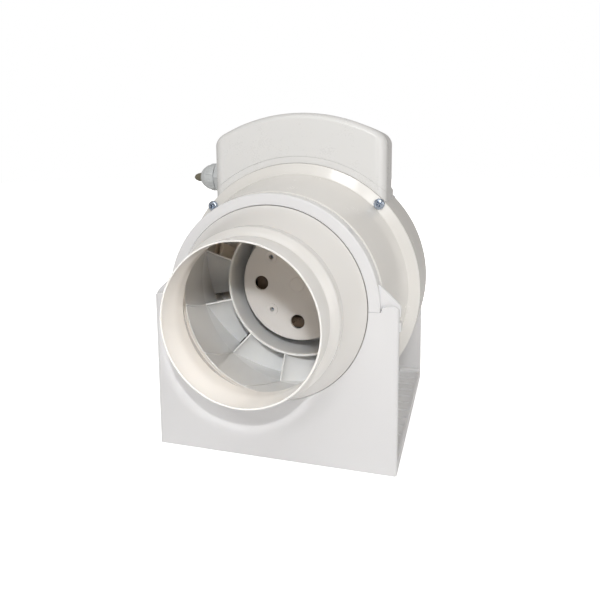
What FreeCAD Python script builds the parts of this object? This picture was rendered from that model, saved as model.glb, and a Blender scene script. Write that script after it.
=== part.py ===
import FreeCAD, Part
import math
import os
import Sketcher
from FreeCAD import Placement, Rotation, Vector

# In-line ducted extractor fan in a mounting cradle, millimetres.
# Frame: +Z up, X across. The outlet is at -Y, called the front, and the inlet
# at +Y, called the back. Inner and outer faces are nearer to and farther from
# the middle of the fan.
# Origin: centre of the cradle's underside. The fan axis is parallel to Y at
# height axis_z. Bodies are drawn about that axis, so their z counts from it.

doc = FreeCAD.newDocument("inline_duct_fan")

# ---------------------------------------------------------------- dimensions
# alias, value, what it is
SIZES = [
    ("axis_z", 106.0, "fan axis above the underside of the cradle"),
    # duct spigots
    ("mouth_y", 145.3, "spigot mouth from the middle of the fan"),
    ("mouth_rad", 49.0, "outside radius of a spigot, for 100 mm duct"),
    ("mouth_bore", 47.8, "inside radius of a spigot at its mouth"),
    ("grip_end", 126.5, "end of the plain length the duct slides over"),
    ("collar_rad", 51.4, "foot of the stop bead"),
    ("bead_rad", 54.0, "outside radius of the stop bead"),
    ("bead_end", 113.5, "step behind the stop bead"),
    ("throat_rad", 49.9, "inner edge where the spigot opens out"),
    ("throat_y", 114.2, "position of that edge"),
    ("shoulder_rad", 64.3, "outside radius of the spigot shoulder"),
    ("shoulder_y", 92.4, "end of the conical shoulder"),
    ("shoulder_bore", 62.3, "inside radius at the end of the shoulder"),
    ("flange_rad", 69.9, "outside radius of the clamped flanges"),
    ("flange_out", 88.4, "outer face of the spigot flange"),
    ("flange_in", 86.4, "inner face of the spigot flange"),
    ("seal_in", 85.4, "inner face of the spigot seal"),
    # end shells
    ("neck_rad", 68.6, "outside radius of the shell neck"),
    ("neck_bore", 67.2, "inside radius of the shell neck"),
    ("neck_flange", 83.2, "inner face of the shell's neck flange"),
    ("cone_y", 80.2, "start of the cone"),
    ("cone_small", 72.8, "small outside radius of the cone"),
    ("cone_big", 83.1, "large outside radius of the cone"),
    ("cone_end", 32.1, "end of the cone"),
    ("shell_wall", 2.2, "wall of the end shells"),
    ("drum_rad", 91.0, "outside radius of the drum"),
    ("drum_wall", 2.5, "wall of the drum"),
    ("drum_y", 29.2, "half length of the drum"),
    ("rim_y", 29.9, "outer edge of the shell flange"),
    ("case_screw_ring", 87.7, "radius the outlet case screws stand on"),
    ("inlet_screw_ring", 87.1, "radius the inlet case screws stand on"),
    ("case_pad_rad", 3.2, "radius of the pad under a case screw"),
    ("case_pad_y", 32.2, "face of that pad"),
    # cradle and straps
    ("cradle_half", 83.5, "half width of the cradle"),
    ("plate_y", 91.6, "outer face of a cradle plate"),
    ("plate_wall", 4.0, "thickness of a cradle plate"),
    ("plate_top", 109.4, "top of the cradle's corner posts"),
    ("base_wall", 3.0, "thickness of the cradle base"),
    ("seat_rad", 64.7, "opening of a cradle plate and strap round the shoulder"),
    ("saddle_bore", 70.2, "inside radius of the clamp groove"),
    ("strap_rad", 72.0, "outside radius of a strap"),
    ("strap_face", 91.4, "outer face of a strap"),
    ("strap_back", 80.6, "inner edge of a strap"),
    ("strap_end", 105.4, "height of the square ends of a strap"),
    ("lip_rad", 68.9, "inside radius of the clamp's inner lip"),
    ("fix_x", 42.0, "fixing holes either side of the middle"),
    ("fix_y", 65.0, "fixing holes fore and aft of the middle"),
    ("fix_rad", 2.75, "radius of a fixing hole"),
    # guide vane unit
    ("hub_rad", 55.0, "outside radius of the hub cup"),
    ("hub_bore", 53.0, "inside radius of the hub cup"),
    ("hub_y", 29.8, "rim of the hub cup, forward of the middle"),
    ("hub_back", 10.0, "back of the hub cup"),
    ("shroud_front", 84.8, "front edge of the vane shroud"),
    ("shroud_small", 63.5, "inside radius at that edge"),
    ("shroud_mid", 77.2, "inside radius at the front of the vanes"),
    ("shroud_big", 81.2, "inside radius at the back"),
    ("shroud_wall", 1.8, "wall of the shroud"),
    ("vane_front", 30.0, "front edge of the vanes"),
    ("vane_back", 2.0, "back edge of the vanes, forward of the middle"),
    ("vane_wall", 1.3, "thickness of a vane"),
    ("vane_count", 11, "number of guide vanes"),
    # motor
    ("cover_rad", 43.1, "outside radius of the motor and its end cover"),
    ("cover_y", 26.7, "face of the motor end cover, forward of the middle"),
    ("cover_bore", 41.1, "inside radius of the motor case"),
    ("motor_screw_ring", 47.6, "radius the motor fixing screws stand on"),
    ("motor_flange_y", 12.3, "back face of the motor flange"),
    ("vent_ring", 28.8, "radius the vents and cover screws stand on"),
    ("vent_rad", 5.4, "radius of a vent"),
    ("shaft_rad", 4.0, "radius of the motor shaft"),
    ("bearing_rad", 11.0, "outside radius of a ball bearing"),
    ("bearing_wide", 7.0, "width of a ball bearing"),
    ("core_rad", 40.9, "outside radius of the stator stack"),
    ("core_bore", 24.0, "bore of the stator stack"),
    ("core_front", 12.0, "front face of the stator stack"),
    ("core_back", 2.0, "back face of the stator stack"),
    ("rotor_rad", 23.6, "radius of the rotor"),
    # impeller
    ("impeller_base", 12.5, "edge of the impeller hub next to the motor"),
    ("impeller_rad", 56.5, "radius of the impeller hub at that edge"),
    ("impeller_nose", 62.0, "nose of the impeller"),
    ("blade_wall", 1.7, "thickness of an impeller blade"),
    ("blade_count", 7, "number of impeller blades"),
    # terminal box
    ("box_half", 65.7, "half width of the terminal box"),
    ("box_front", 28.7, "front face of the terminal box"),
    ("box_back", 11.3, "back face of the terminal box"),
    ("box_rad", 127.4, "radius of the box's crown about the fan axis"),
    ("band_rad", 95.9, "radius of the seam between base and cover"),
    ("box_wall", 2.4, "wall of the terminal box"),
    ("box_corner", 8.0, "radius of the box's upright corners"),
    ("box_edge", 5.0, "radius of the box's crown edges"),
    ("ledge_y", 21.5, "back edge of the box base"),
    ("base_screw_x", 8.0, "box base screws either side of the middle"),
    ("base_screw_y", 18.0, "box base screws forward of the middle"),
    ("cover_screw_x", 40.0, "box cover screws either side of the middle"),
    ("cover_screw_y", 16.6, "box cover screws behind the middle"),
    ("gland_z", 186.8, "height of the cable gland"),
    ("gland_y", 8.0, "cable gland forward of the middle"),
    ("gland_rad", 7.9, "radius of the gland's thread"),
    ("gland_tab", 10.6, "half width of the tab that holds the gland"),
    ("lead_y", 0.6, "where the motor lead comes up into the box"),
    ("lead_motor_y", 4.5, "where the motor lead leaves the motor"),
]


class Size:
    """A number together with the sheet formula that gives it."""

    def __init__(self, value, formula):
        self.value = float(value)
        self.formula = formula

    def __add__(self, other):
        other = sized(other)
        return Size(self.value + other.value, "(%s + %s)" % (self.formula, other.formula))

    __radd__ = __add__

    def __sub__(self, other):
        other = sized(other)
        return Size(self.value - other.value, "(%s - %s)" % (self.formula, other.formula))

    def __rsub__(self, other):
        return sized(other) - self

    def __mul__(self, other):
        other = sized(other)
        return Size(self.value * other.value, "(%s * %s)" % (self.formula, other.formula))

    __rmul__ = __mul__

    def __neg__(self):
        return Size(-self.value, "(0 - %s)" % self.formula)


def sized(number):
    if isinstance(number, Size):
        return number
    return Size(number, ("%.6f" % number) if number >= 0 else "(0 - %.6f)" % -number)


class Dims:
    """Holds each alias of the sheet as a Size."""


dim = Dims()
sheet = doc.addObject("Spreadsheet::Sheet", "Sizes")
sheet.set("A1", "name")
sheet.set("B1", "value")
sheet.set("C1", "what it is")
for row, (alias, value, note) in enumerate(SIZES, start=2):
    sheet.set("A%d" % row, alias)
    sheet.set("B%d" % row, "%g" % value)
    sheet.set("C%d" % row, note)
    sheet.setAlias("B%d" % row, alias)
    setattr(dim, alias, Size(value, "Sizes." + alias))
doc.recompute()

NODES = {}


def node(name, obj):
    """Label a finished piece and list it for export."""
    obj.Label = name
    NODES[name] = obj


def bind(obj, prop, size):
    """Tie a property to the sheet, if its size comes from there."""
    if "Sizes." in size.formula:
        obj.setExpression(prop, size.formula)


def is_failed(obj):
    return "Invalid" in obj.State or "Error" in obj.State


# ------------------------------------------------------------ sketch loops
# The four diagonal directions seen along the fan axis, in degrees.
DIAGONALS = (45.0, 135.0, 225.0, 315.0)


def circle(x, y, rad):
    return ("circle", (x, y, rad))


def polygon(points):
    return ("polygon", points)


def rect(x0, x1, y0, y1):
    return polygon([(x0, y0), (x1, y0), (x1, y1), (x0, y1)])


def rect_pair(x0, x1, y0, y1):
    """A rectangle and its mirror image across x = 0."""
    return [rect(x0, x1, y0, y1), rect(-x1, -x0, y0, y1)]


def hexagon(corner_rad):
    angles = [math.radians(60 * i) for i in range(6)]
    return polygon([(corner_rad * math.cos(a), corner_rad * math.sin(a)) for a in angles])


def ring_circles(ring, rad, angles=DIAGONALS):
    """Circles of one radius standing on a ring about the axis."""
    return [circle(ring * math.cos(math.radians(a)), ring * math.sin(math.radians(a)), rad)
            for a in angles]


# Outlet and inlet ends share their sizes: side -1 is the outlet, 1 the inlet.
def sided(side, points):
    return [(y * side, rad) for y, rad in points]


def span(side, low, high):
    return (low, high) if side > 0 else (-high, -low)


def on_circle(rad, y=None):
    """Edge test: a circle or arc of this radius, centred at y if given."""
    rad = sized(rad).value

    def test(edge):
        curve = edge.Curve
        if not hasattr(curve, "Radius") or abs(curve.Radius - rad) > 0.02:
            return False
        return y is None or abs(curve.Center.y - sized(y).value) < 0.02

    return test


# ------------------------------------------------------- Part Design helpers
# Sketch plane across each axis. The XZ plane's normal is -Y, the others point
# along + of their axis.
PLANES = {"x": "YZ_Plane", "y": "XZ_Plane", "z": "XY_Plane"}


class Solid:
    """A PartDesign body, by default on the fan axis, and its features."""

    def __init__(self, name, y=0.0, z=dim.axis_z, rotation=Rotation()):
        self.name = name
        self.feature_count = 0
        self.volume = 0.0
        self.body = doc.addObject("PartDesign::Body", "Body_" + name)
        y = sized(y)
        self.body.Placement = Placement(Vector(0, y.value, z.value), rotation)
        bind(self.body, "Placement.Base.y", y)
        bind(self.body, "Placement.Base.z", z)
        node(name, self.body)

    def _new(self, kind, module="PartDesign"):
        self.feature_count += 1
        name = "%s_%s%d" % (self.name, kind, self.feature_count)
        return self.body.newObject(module + "::" + kind, name)

    def _origin(self, role):
        return [o for o in self.body.Origin.OriginFeatures if o.Role == role][0]

    def sketch(self, plane, loops, offset=None, turn=0.0):
        sketch = self._new("SketchObject", "Sketcher")
        sketch.AttachmentSupport = [(self._origin(plane), "")]
        sketch.MapMode = "FlatFace"
        if offset is not None:
            rotation = Rotation(Vector(0, 0, 1), turn)
            sketch.AttachmentOffset = Placement(Vector(0, 0, offset.value), rotation)
            sketch.setExpression("AttachmentOffset.Base.z", offset.formula)
        count = 0
        for kind, data in loops:
            if kind == "circle":
                x, y, rad = (sized(n) for n in data)
                curve = Part.Circle(Vector(x.value, y.value, 0), Vector(0, 0, 1), rad.value)
                index = sketch.addGeometry(curve, False)
                self._pin(sketch, index, 3, x, y, count)
                limit = sketch.addConstraint(Sketcher.Constraint("Radius", index, rad.value))
                sketch.renameConstraint(limit, "rad%d" % count)
                sketch.setExpression("Constraints.rad%d" % count, rad.formula)
                count += 1
                continue
            points = [(sized(x), sized(y)) for x, y in data]
            lines = []
            for start, end in zip(points, points[1:] + points[:1]):
                lines.append(sketch.addGeometry(Part.LineSegment(
                    Vector(start[0].value, start[1].value, 0),
                    Vector(end[0].value, end[1].value, 0)), False))
            for i, line in enumerate(lines):
                sketch.addConstraint(Sketcher.Constraint("Coincident", lines[i - 1], 2, line, 1))
            for line, (x, y) in zip(lines, points):
                self._pin(sketch, line, 1, x, y, count)
                count += 1
        return sketch

    def _pin(self, sketch, index, end, x, y, count):
        """Fix a point of the geometry at x, y."""
        for axis, size, axis_line in (("X", x, -2), ("Y", y, -1)):
            if abs(size.value) < 1e-9:
                sketch.addConstraint(
                    Sketcher.Constraint("PointOnObject", index, end, axis_line))
            else:
                limit = sketch.addConstraint(
                    Sketcher.Constraint("Distance" + axis, -1, 1, index, end, size.value))
                name = "at%s%d" % (axis.lower(), count)
                sketch.renameConstraint(limit, name)
                sketch.setExpression("Constraints." + name, size.formula)

    def _finish(self, feature, grows=None):
        """Make the feature the tip and check that it did its work."""
        self.body.Tip = feature
        doc.recompute()
        if is_failed(feature) or feature.Shape.isNull():
            raise RuntimeError("%s failed: %s" % (feature.Name, feature.State))
        volume = feature.Shape.Volume
        if grows is True and not volume > self.volume + 1e-6:
            raise RuntimeError("%s added nothing" % feature.Name)
        if grows is False and not volume < self.volume - 1e-6:
            raise RuntimeError("%s cut nothing" % feature.Name)
        self.volume = volume
        return feature

    def _turned(self, kind, loop, angle, grows):
        sketch = self.sketch("YZ_Plane", [loop])
        feature = self._new(kind)
        feature.Profile = sketch
        feature.ReferenceAxis = (sketch, ["H_Axis"])
        feature.Angle = angle
        feature.Midplane = angle < 360.0
        return self._finish(feature, grows)

    def rev(self, points, angle=360.0):
        """Turn a profile of (y, radius) points about the Y axis."""
        return self._turned("Revolution", polygon(points), angle, True)

    def ring(self, inner, outer, y0, y1):
        return self.rev([(y0, inner), (y0, outer), (y1, outer), (y1, inner)])

    def ball_groove(self, y, ring, rad):
        return self._turned("Groove", circle(y, ring, rad), 360.0, False)

    def _extruded(self, kind, axis, loops, low, high):
        low, high = sized(low), sized(high)
        is_pad = kind == "Pad"
        if axis == "y":
            start = -high if is_pad else -low
        else:
            start = low if is_pad else high
        sketch = self.sketch(PLANES[axis], loops, start)
        feature = self._new(kind)
        feature.Profile = sketch
        feature.Length = (high - low).value
        feature.setExpression("Length", (high - low).formula)
        return self._finish(feature, is_pad)

    def pad(self, axis, loops, low, high):
        """Add the loops between two positions on an axis."""
        return self._extruded("Pad", axis, loops, low, high)

    def pocket(self, axis, loops, low, high):
        """Cut the loops between two positions on an axis."""
        return self._extruded("Pocket", axis, loops, low, high)

    def polar(self, original, count, grows=True):
        """Repeat a feature round the Y axis."""
        count = sized(count)
        feature = self._new("PolarPattern")
        feature.Originals = [original]
        feature.Axis = (self._origin("Y_Axis"), [""])
        feature.Angle = 360.0
        feature.Occurrences = int(count.value)
        bind(feature, "Occurrences", count)
        return self._finish(feature, grows)

    def soften(self, rad, *tests):
        """Fillet the edges that pass any of the tests."""
        tip = self.body.Tip
        names = ["Edge%d" % i for i, edge in enumerate(tip.Shape.Edges, start=1)
                 if any(test(edge) for test in tests)]
        if not names:
            raise RuntimeError("%s: no edge picked" % self.name)
        feature = self._new("Fillet")
        feature.Base = (tip, names)
        feature.Radius = rad
        return self._finish(feature)

    def loft(self, sections):
        """sections: (y, turn of the sketch in its plane in degrees, loop)"""
        sketches = [self.sketch("XZ_Plane", [loop], -sized(y), turn)
                    for y, turn, loop in sections]
        feature = self._new("AdditiveLoft")
        feature.Profile = sketches[0]
        feature.Sections = [(sketch, [""]) for sketch in sketches[1:]]
        return self._finish(feature, True)


def ring_piece(name, inner, outer, y0, y1):
    Solid(name).ring(inner, outer, y0, y1)


# ------------------------------------------------------ Part boolean helpers
def box(name, x0, x1, y0, y1, z0, z1):
    obj = doc.addObject("Part::Box", name)
    x0, x1, y0, y1, z0, z1 = (sized(n) for n in (x0, x1, y0, y1, z0, z1))
    obj.Length, obj.Width, obj.Height = (x1 - x0).value, (y1 - y0).value, (z1 - z0).value
    bind(obj, "Length", x1 - x0)
    bind(obj, "Width", y1 - y0)
    bind(obj, "Height", z1 - z0)
    obj.Placement = Placement(Vector(x0.value, y0.value, z0.value), Rotation())
    for axis, size in zip("xyz", (x0, y0, z0)):
        bind(obj, "Placement.Base." + axis, size)
    return obj


def cylinder(name, rad, low, high, x=0.0, y=0.0, z=0.0, axis="y"):
    """Cylinder from low to high along an axis, its centre line at the other two."""
    rad, low, high, x, y, z = (sized(n) for n in (rad, low, high, x, y, z))
    obj = doc.addObject("Part::Cylinder", name)
    obj.Radius = rad.value
    obj.Height = (high - low).value
    bind(obj, "Radius", rad)
    bind(obj, "Height", high - low)
    rotation, foot = {"x": (Rotation(Vector(0, 1, 0), 90), (low, y, z)),
                      "y": (Rotation(Vector(1, 0, 0), -90), (x, low, z)),
                      "z": (Rotation(), (x, y, low))}[axis]
    obj.Placement = Placement(Vector(*(size.value for size in foot)), rotation)
    for letter, size in zip("xyz", foot):
        bind(obj, "Placement.Base." + letter, size)
    return obj


def computed(obj):
    doc.recompute()
    if obj.Shape.isNull() or is_failed(obj):
        raise RuntimeError(obj.Name + " failed")
    return obj


def cut(name, base, tool):
    before = base.Shape.Volume
    obj = doc.addObject("Part::Cut", name)
    obj.Base, obj.Tool = base, tool
    computed(obj)
    if not obj.Shape.Volume < before - 1e-6:
        raise RuntimeError(name + " cut nothing")
    return obj


def fuse(name, shapes):
    obj = doc.addObject("Part::MultiFuse", name)
    obj.Shapes = shapes
    return computed(obj)


def common(name, shapes):
    obj = doc.addObject("Part::MultiCommon", name)
    obj.Shapes = shapes
    return computed(obj)


def fillet(name, base, rad, test):
    rad = sized(rad).value
    obj = doc.addObject("Part::Fillet", name)
    obj.Base = base
    obj.Edges = [(i, rad, rad) for i, edge in enumerate(base.Shape.Edges, start=1)
                 if test(edge)]
    return computed(obj)


# ------------------------------------------------------------ duct spigots
def spigot(name, side):
    piece = Solid(name)
    piece.rev(sided(side, [
        (dim.mouth_y, dim.mouth_bore), (dim.mouth_y, dim.mouth_rad),
        (dim.grip_end, dim.mouth_rad), (dim.grip_end - 2.2, dim.collar_rad),
        (dim.grip_end - 5.0, dim.bead_rad), (dim.bead_end, dim.bead_rad),
        (dim.bead_end, dim.bead_rad - 1.2), (dim.shoulder_y, dim.shoulder_rad),
        (dim.flange_out, dim.shoulder_rad), (dim.flange_out, dim.flange_rad),
        (dim.flange_in, dim.flange_rad), (dim.flange_in, dim.shoulder_bore + 0.5),
        (dim.shoulder_y - 1.2, dim.shoulder_bore), (dim.throat_y, dim.throat_rad),
        (dim.grip_end, dim.mouth_bore + 0.4)]))
    piece.soften(0.55, on_circle(dim.mouth_rad, side * dim.mouth_y),
                 on_circle(dim.mouth_bore, side * dim.mouth_y))
    piece.soften(1.0, on_circle(dim.bead_rad, side * (dim.grip_end - 5.0)))


def spigot_seal(name, side):
    ring_piece(name, dim.neck_bore + 0.2, dim.flange_rad - 0.2,
               *span(side, dim.seal_in, dim.flange_in))


spigot("outlet_spigot", -1)
spigot("inlet_spigot", 1)
spigot_seal("outlet_spigot_seal", -1)
spigot_seal("inlet_spigot_seal", 1)

# ---------------------------------------------------------------- end shells
# The case screws are not quite a quarter turn apart, so that an end shell
# fits the drum one way round.
CASE_ANGLES = (45.0, 137.5, 225.0, 317.5)


def end_shell(name, side, screw_ring):
    piece = Solid(name)
    wall = dim.shell_wall
    piece.rev(sided(side, [
        (dim.seal_in, dim.neck_bore), (dim.seal_in, dim.flange_rad),
        (dim.neck_flange, dim.flange_rad), (dim.neck_flange, dim.neck_rad),
        (dim.cone_y, dim.neck_rad), (dim.cone_y, dim.cone_small),
        (dim.cone_end, dim.cone_big), (dim.rim_y, dim.drum_rad - 0.1),
        (dim.drum_y, dim.drum_rad - 0.1), (dim.drum_y, dim.cone_big - wall + 0.5),
        (dim.cone_y - 0.6, dim.cone_small - wall), (dim.cone_y - 0.6, dim.neck_bore)]))
    low, high = span(side, dim.drum_y, dim.case_pad_y)
    piece.pad("y", ring_circles(screw_ring, dim.case_pad_rad, CASE_ANGLES), low, high)
    piece.pocket("y", ring_circles(screw_ring, 1.75, CASE_ANGLES), low - 1.0, high + 1.0)
    piece.soften(0.8, on_circle(dim.cone_small, side * dim.cone_y))


end_shell("outlet_shell", -1, dim.case_screw_ring)
end_shell("inlet_shell", 1, dim.inlet_screw_ring)

# ------------------------------------------------------------------- drum
POST_RAD = 3.1        # posts the case screws go into
PILOT_RAD = 1.55      # screw holes in the posts
PILOT_DEEP = 13
LEAD_HOLE_RAD = 5.0   # way in for the motor lead
BASE_SCREW_RAD = 1.6  # holes for the box base screws

drum = Solid("drum_housing")
drum.ring(dim.drum_rad - dim.drum_wall, dim.drum_rad, -dim.drum_y, dim.drum_y)
# ledges inside the wall
drum.ring(81.7, dim.drum_rad - 1.0, -26.6, -24.4)
drum.ring(84.6, dim.drum_rad - 1.0, 24.4, 26.6)
outlet_ring, inlet_ring = dim.case_screw_ring, dim.inlet_screw_ring
drum.pad("y", ring_circles(outlet_ring, POST_RAD, CASE_ANGLES), -dim.drum_y, 0.0)
drum.pad("y", ring_circles(inlet_ring, POST_RAD, CASE_ANGLES), -0.5, dim.drum_y)
drum.pocket("y", ring_circles(outlet_ring, PILOT_RAD, CASE_ANGLES),
            -dim.drum_y - 1, -dim.drum_y + PILOT_DEEP)
drum.pocket("y", ring_circles(inlet_ring, PILOT_RAD, CASE_ANGLES),
            dim.drum_y - PILOT_DEEP, dim.drum_y + 1)
drum.pocket("z", [circle(0, dim.lead_y, LEAD_HOLE_RAD),
                  circle(dim.base_screw_x, -dim.base_screw_y, BASE_SCREW_RAD),
                  circle(-dim.base_screw_x, -dim.base_screw_y, BASE_SCREW_RAD)], 80, 93)

# ------------------------------------------------------- guide vane unit
VANE_ANGLE = 194.5     # turn of a vane at its front edge, degrees
VANE_SWEEP = 30.0      # how far it turns on its way back
VANE_STEPS = 4
SHROUD_LIP_RAD = 83.4  # rim round the shroud at the front of the vanes
MOTOR_WIRE_HOLE = 2.2  # hole for the motor lead

vane_unit = Solid("guide_vane_unit")
# hub cup, open to the front
vane_unit.rev([
    (-dim.hub_y, dim.hub_bore + 0.3), (-dim.hub_y, dim.hub_rad), (dim.hub_back, dim.hub_rad),
    (dim.hub_back, dim.cover_rad + 0.5), (dim.hub_back - 2.5, dim.cover_rad + 0.5),
    (dim.hub_back - 2.5, dim.hub_bore), (-dim.hub_y + 2, dim.hub_bore)])
# bosses for the motor fixing screws
boss = vane_unit.pad("y", ring_circles(dim.motor_screw_ring, 3.6, (45.0,)),
                     -1.0, dim.hub_back - 2.0)
vane_unit.polar(boss, 4)
boss_hole = vane_unit.pocket("y", ring_circles(dim.motor_screw_ring, 1.55, (45.0,)),
                             -2.0, dim.hub_back + 1)
vane_unit.polar(boss_hole, 4, grows=False)
sections = []
for step in range(VANE_STEPS + 1):
    part_way = step / VANE_STEPS
    tip_rad = dim.shroud_mid + (dim.shroud_big - dim.shroud_mid) * part_way + 0.8
    half_wall = dim.vane_wall * 0.5
    sections.append((-dim.vane_front + (dim.vane_front - dim.vane_back) * part_way,
                     VANE_ANGLE + VANE_SWEEP * part_way ** 1.5,
                     rect(dim.hub_rad - 1.0, tip_rad, -half_wall, half_wall)))
vane = vane_unit.loft(sections)
vane_unit.polar(vane, dim.vane_count)
# shroud round the vanes, narrowing to the front
wall = dim.shroud_wall
lip_front = -dim.drum_y + 0.1
vane_unit.rev([
    (-dim.shroud_front, dim.shroud_small), (-dim.shroud_front, dim.shroud_small + wall),
    (lip_front, dim.shroud_mid + wall + 0.1), (lip_front, SHROUD_LIP_RAD),
    (-26.7, SHROUD_LIP_RAD), (-26.7, dim.shroud_mid + wall + 0.5),
    (-dim.vane_back, dim.shroud_big + wall), (-dim.vane_back, dim.shroud_big),
    (-dim.vane_front, dim.shroud_mid)])
# low ribs along the shroud wall, one ahead of each vane
front = dim.shroud_front.value
sections = []
for y, lag in ((-84.6, -9.2), (-62.0, -3.8), (-29.5, 0.0)):  # lag in degrees
    part_way = (y + front) / (front - dim.vane_front.value)
    rad = dim.shroud_small + (dim.shroud_mid - dim.shroud_small) * part_way
    sections.append((y, VANE_ANGLE + lag, rect(rad - 0.6, rad + 0.9, -0.4, 0.4)))
rib = vane_unit.loft(sections)
vane_unit.polar(rib, dim.vane_count)
vane_unit.pocket("z", [circle(0, dim.lead_motor_y, MOTOR_WIRE_HOLE)], 51, 57)

# ---------------------------------------------------------- inlet bellmouth
# (y, radius) along the inside from the inlet inwards, then back along the outside
BELLMOUTH_INSIDE = [
    (82.0, 61.0), (79.0, 55.0), (75.0, 51.2), (70.0, 49.8), (65.0, 50.2), (60.0, 52.4),
    (50.0, 59.6), (38.0, 68.4), (26.0, 76.8), (14.0, 81.2)]
BELLMOUTH_OUTSIDE = [
    (14.0, 83.0), (27.0, 78.7), (39.0, 70.2), (51.0, 61.4), (60.8, 54.3), (65.8, 52.0),
    (70.2, 51.6), (74.0, 53.0), (77.2, 56.2), (80.0, 61.4), (80.0, 66.9), (82.0, 66.9)]
Solid("inlet_bellmouth").rev(BELLMOUTH_INSIDE + BELLMOUTH_OUTSIDE)

# --------------------------------------------------------------- cradle
STRIP_IN = 64.0      # inner edge of the strips along the base, either side
STRIP_HALF = 87.8    # half length of the strips
STRIP_TOP = 5.4      # top of the strips above the underside
RUNG_SPANS = ((-81.5, -65.5), (65.5, 81.5))
CORNER_RAD = 2.2     # rounding of the upright corners

cradle = Solid("mounting_cradle")
half = dim.cradle_half
plate_out = dim.plate_y
plate_in = plate_out - dim.plate_wall
floor = -dim.axis_z
base_top = floor + dim.base_wall
post_top = dim.plate_top - dim.axis_z
cradle.pad("z", [rect(-half, half, -plate_out, plate_out)], floor, base_top)
# (x, z) outline of a plate, with a corner post either side of the strap
notch_z = dim.strap_end - dim.axis_z - 0.15
notch_x = dim.strap_rad + 0.4
plate = [
    (-half, floor + 0.5), (half, floor + 0.5), (half, post_top - 3.0),
    (half - 0.8, post_top - 0.9), (half - 2.8, post_top), (notch_x + 4.4, post_top),
    (notch_x + 1.3, post_top - 1.2), (notch_x, notch_z), (-notch_x, notch_z),
    (-notch_x - 1.3, post_top - 1.2), (-notch_x - 4.4, post_top), (-half + 2.8, post_top),
    (-half + 0.8, post_top - 0.9), (-half, post_top - 3.0)]
for side in (-1, 1):
    cradle.pad("y", [polygon(plate)], *span(side, plate_in, plate_out))
    cradle.pocket("y", [circle(0, 0, dim.seat_rad)],
                  *span(side, plate_in - 0.5, plate_out + 0.5))
    cradle.pocket("y", [circle(0, 0, dim.saddle_bore)],
                  *span(side, plate_in - 0.1, dim.flange_out + 0.2))
    # lower half of the clamp groove, radii measured downwards
    cradle.rev(sided(side, [
        (plate_in + 0.6, -dim.saddle_bore), (plate_in + 0.6, -(dim.saddle_bore + 3.0)),
        (dim.strap_back, -(dim.saddle_bore + 3.0)), (dim.strap_back, -dim.lip_rad),
        (dim.neck_flange - 0.2, -dim.lip_rad), (dim.neck_flange - 0.2, -dim.saddle_bore)]),
        angle=178.5)
    # loops the strap tongues drop into
    cradle.pad("z", rect_pair(73.6, half + 0.9, *span(side, 82.4, plate_in)), -13.0, -7.0)
    cradle.pocket("z", rect_pair(74.4, 82.9, *span(side, 83.9, plate_in - 0.02)), -13.5, -6.5)
    # foot ledge inside each plate
    cradle.pad("z", [rect(-half, half, *span(side, plate_in - 4.0, plate_in + 0.2))],
               base_top - 0.2, floor + 9.0)
# strips along both long edges of the base, each with a rail along its inner
# edge, low rungs across it and a rim along its outer edge
cradle.pad("z", rect_pair(STRIP_IN, half, -STRIP_HALF, STRIP_HALF),
           base_top - 0.2, floor + STRIP_TOP)
cradle.pad("z", rect_pair(STRIP_IN, 66.0, -83.0, 83.0), floor + STRIP_TOP - 0.2, floor + 8.5)
rung_places = [-70.0 + 14.0 * i for i in range(11)]
rungs = [rect(x0, x1, y - 1.1, y + 1.1) for x0, x1 in RUNG_SPANS for y in rung_places]
cradle.pad("z", rungs, floor + STRIP_TOP - 0.2, floor + 6.3)
cradle.pad("z", rect_pair(81.4, half, -STRIP_HALF, STRIP_HALF),
           floor + STRIP_TOP - 0.2, floor + 6.8)


def fixing_circles(rad):
    return [circle(x_sign * dim.fix_x, y_sign * dim.fix_y, rad)
            for x_sign in (-1, 1) for y_sign in (-1, 1)]


# round seats and holes for the four fixing screws
cradle.pad("z", fixing_circles(7.0), base_top - 0.2, base_top + 1.2)
cradle.pocket("z", fixing_circles(dim.fix_rad), floor - 0.5, base_top + 2.0)
# the four upright corners are cut to a quarter circle, (x, y) as fractions of
# its radius
QUARTER = [(0.0, 1.0), (0.383, 0.924), (0.707, 0.707), (0.924, 0.383), (1.0, 0.0)]
corners = []
for x_sign in (-1, 1):
    for y_sign in (-1, 1):
        points = [(half - CORNER_RAD * (1 - x), plate_out - CORNER_RAD * (1 - y))
                  for x, y in QUARTER]
        points += [(half + 1.5, plate_out - CORNER_RAD), (half + 1.5, plate_out + 1.5),
                   (half - CORNER_RAD, plate_out + 1.5)]
        corners.append(polygon([(x * x_sign, y * y_sign) for x, y in points]))
cradle.pocket("z", corners, floor - 1.0, post_top + 1.0)

# --------------------------------------------------------------- straps
# (x, z) outline of the ear and tongue at the +X end of a strap
STRAP_EAR = [
    (69.3, 16.6), (81.6, 6.0), (84.3, 3.0), (84.3, -3.4), (82.6, -5.2), (82.6, -15.0),
    (81.6, -16.5), (75.6, -16.5), (74.6, -15.0), (74.6, -0.3), (71.2, -0.3), (70.9, 8.0)]


def strap(name, side):
    piece = Solid(name)
    piece.rev(sided(side, [
        (dim.strap_face, dim.seat_rad), (dim.strap_face, dim.strap_rad),
        (dim.strap_back, dim.strap_rad), (dim.strap_back, dim.lip_rad),
        (dim.neck_flange - 0.2, dim.lip_rad), (dim.neck_flange - 0.2, dim.saddle_bore),
        (dim.flange_out + 0.2, dim.saddle_bore), (dim.flange_out + 0.2, dim.seat_rad)]),
        angle=181.0)
    piece.soften(1.0, on_circle(dim.strap_rad, side * dim.strap_face))
    mirrored = [(-x, z) for x, z in reversed(STRAP_EAR)]
    piece.pad("y", [polygon(STRAP_EAR), polygon(mirrored)], *span(side, 84.3, 87.3))


strap("outlet_strap", -1)
strap("inlet_strap", 1)

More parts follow.
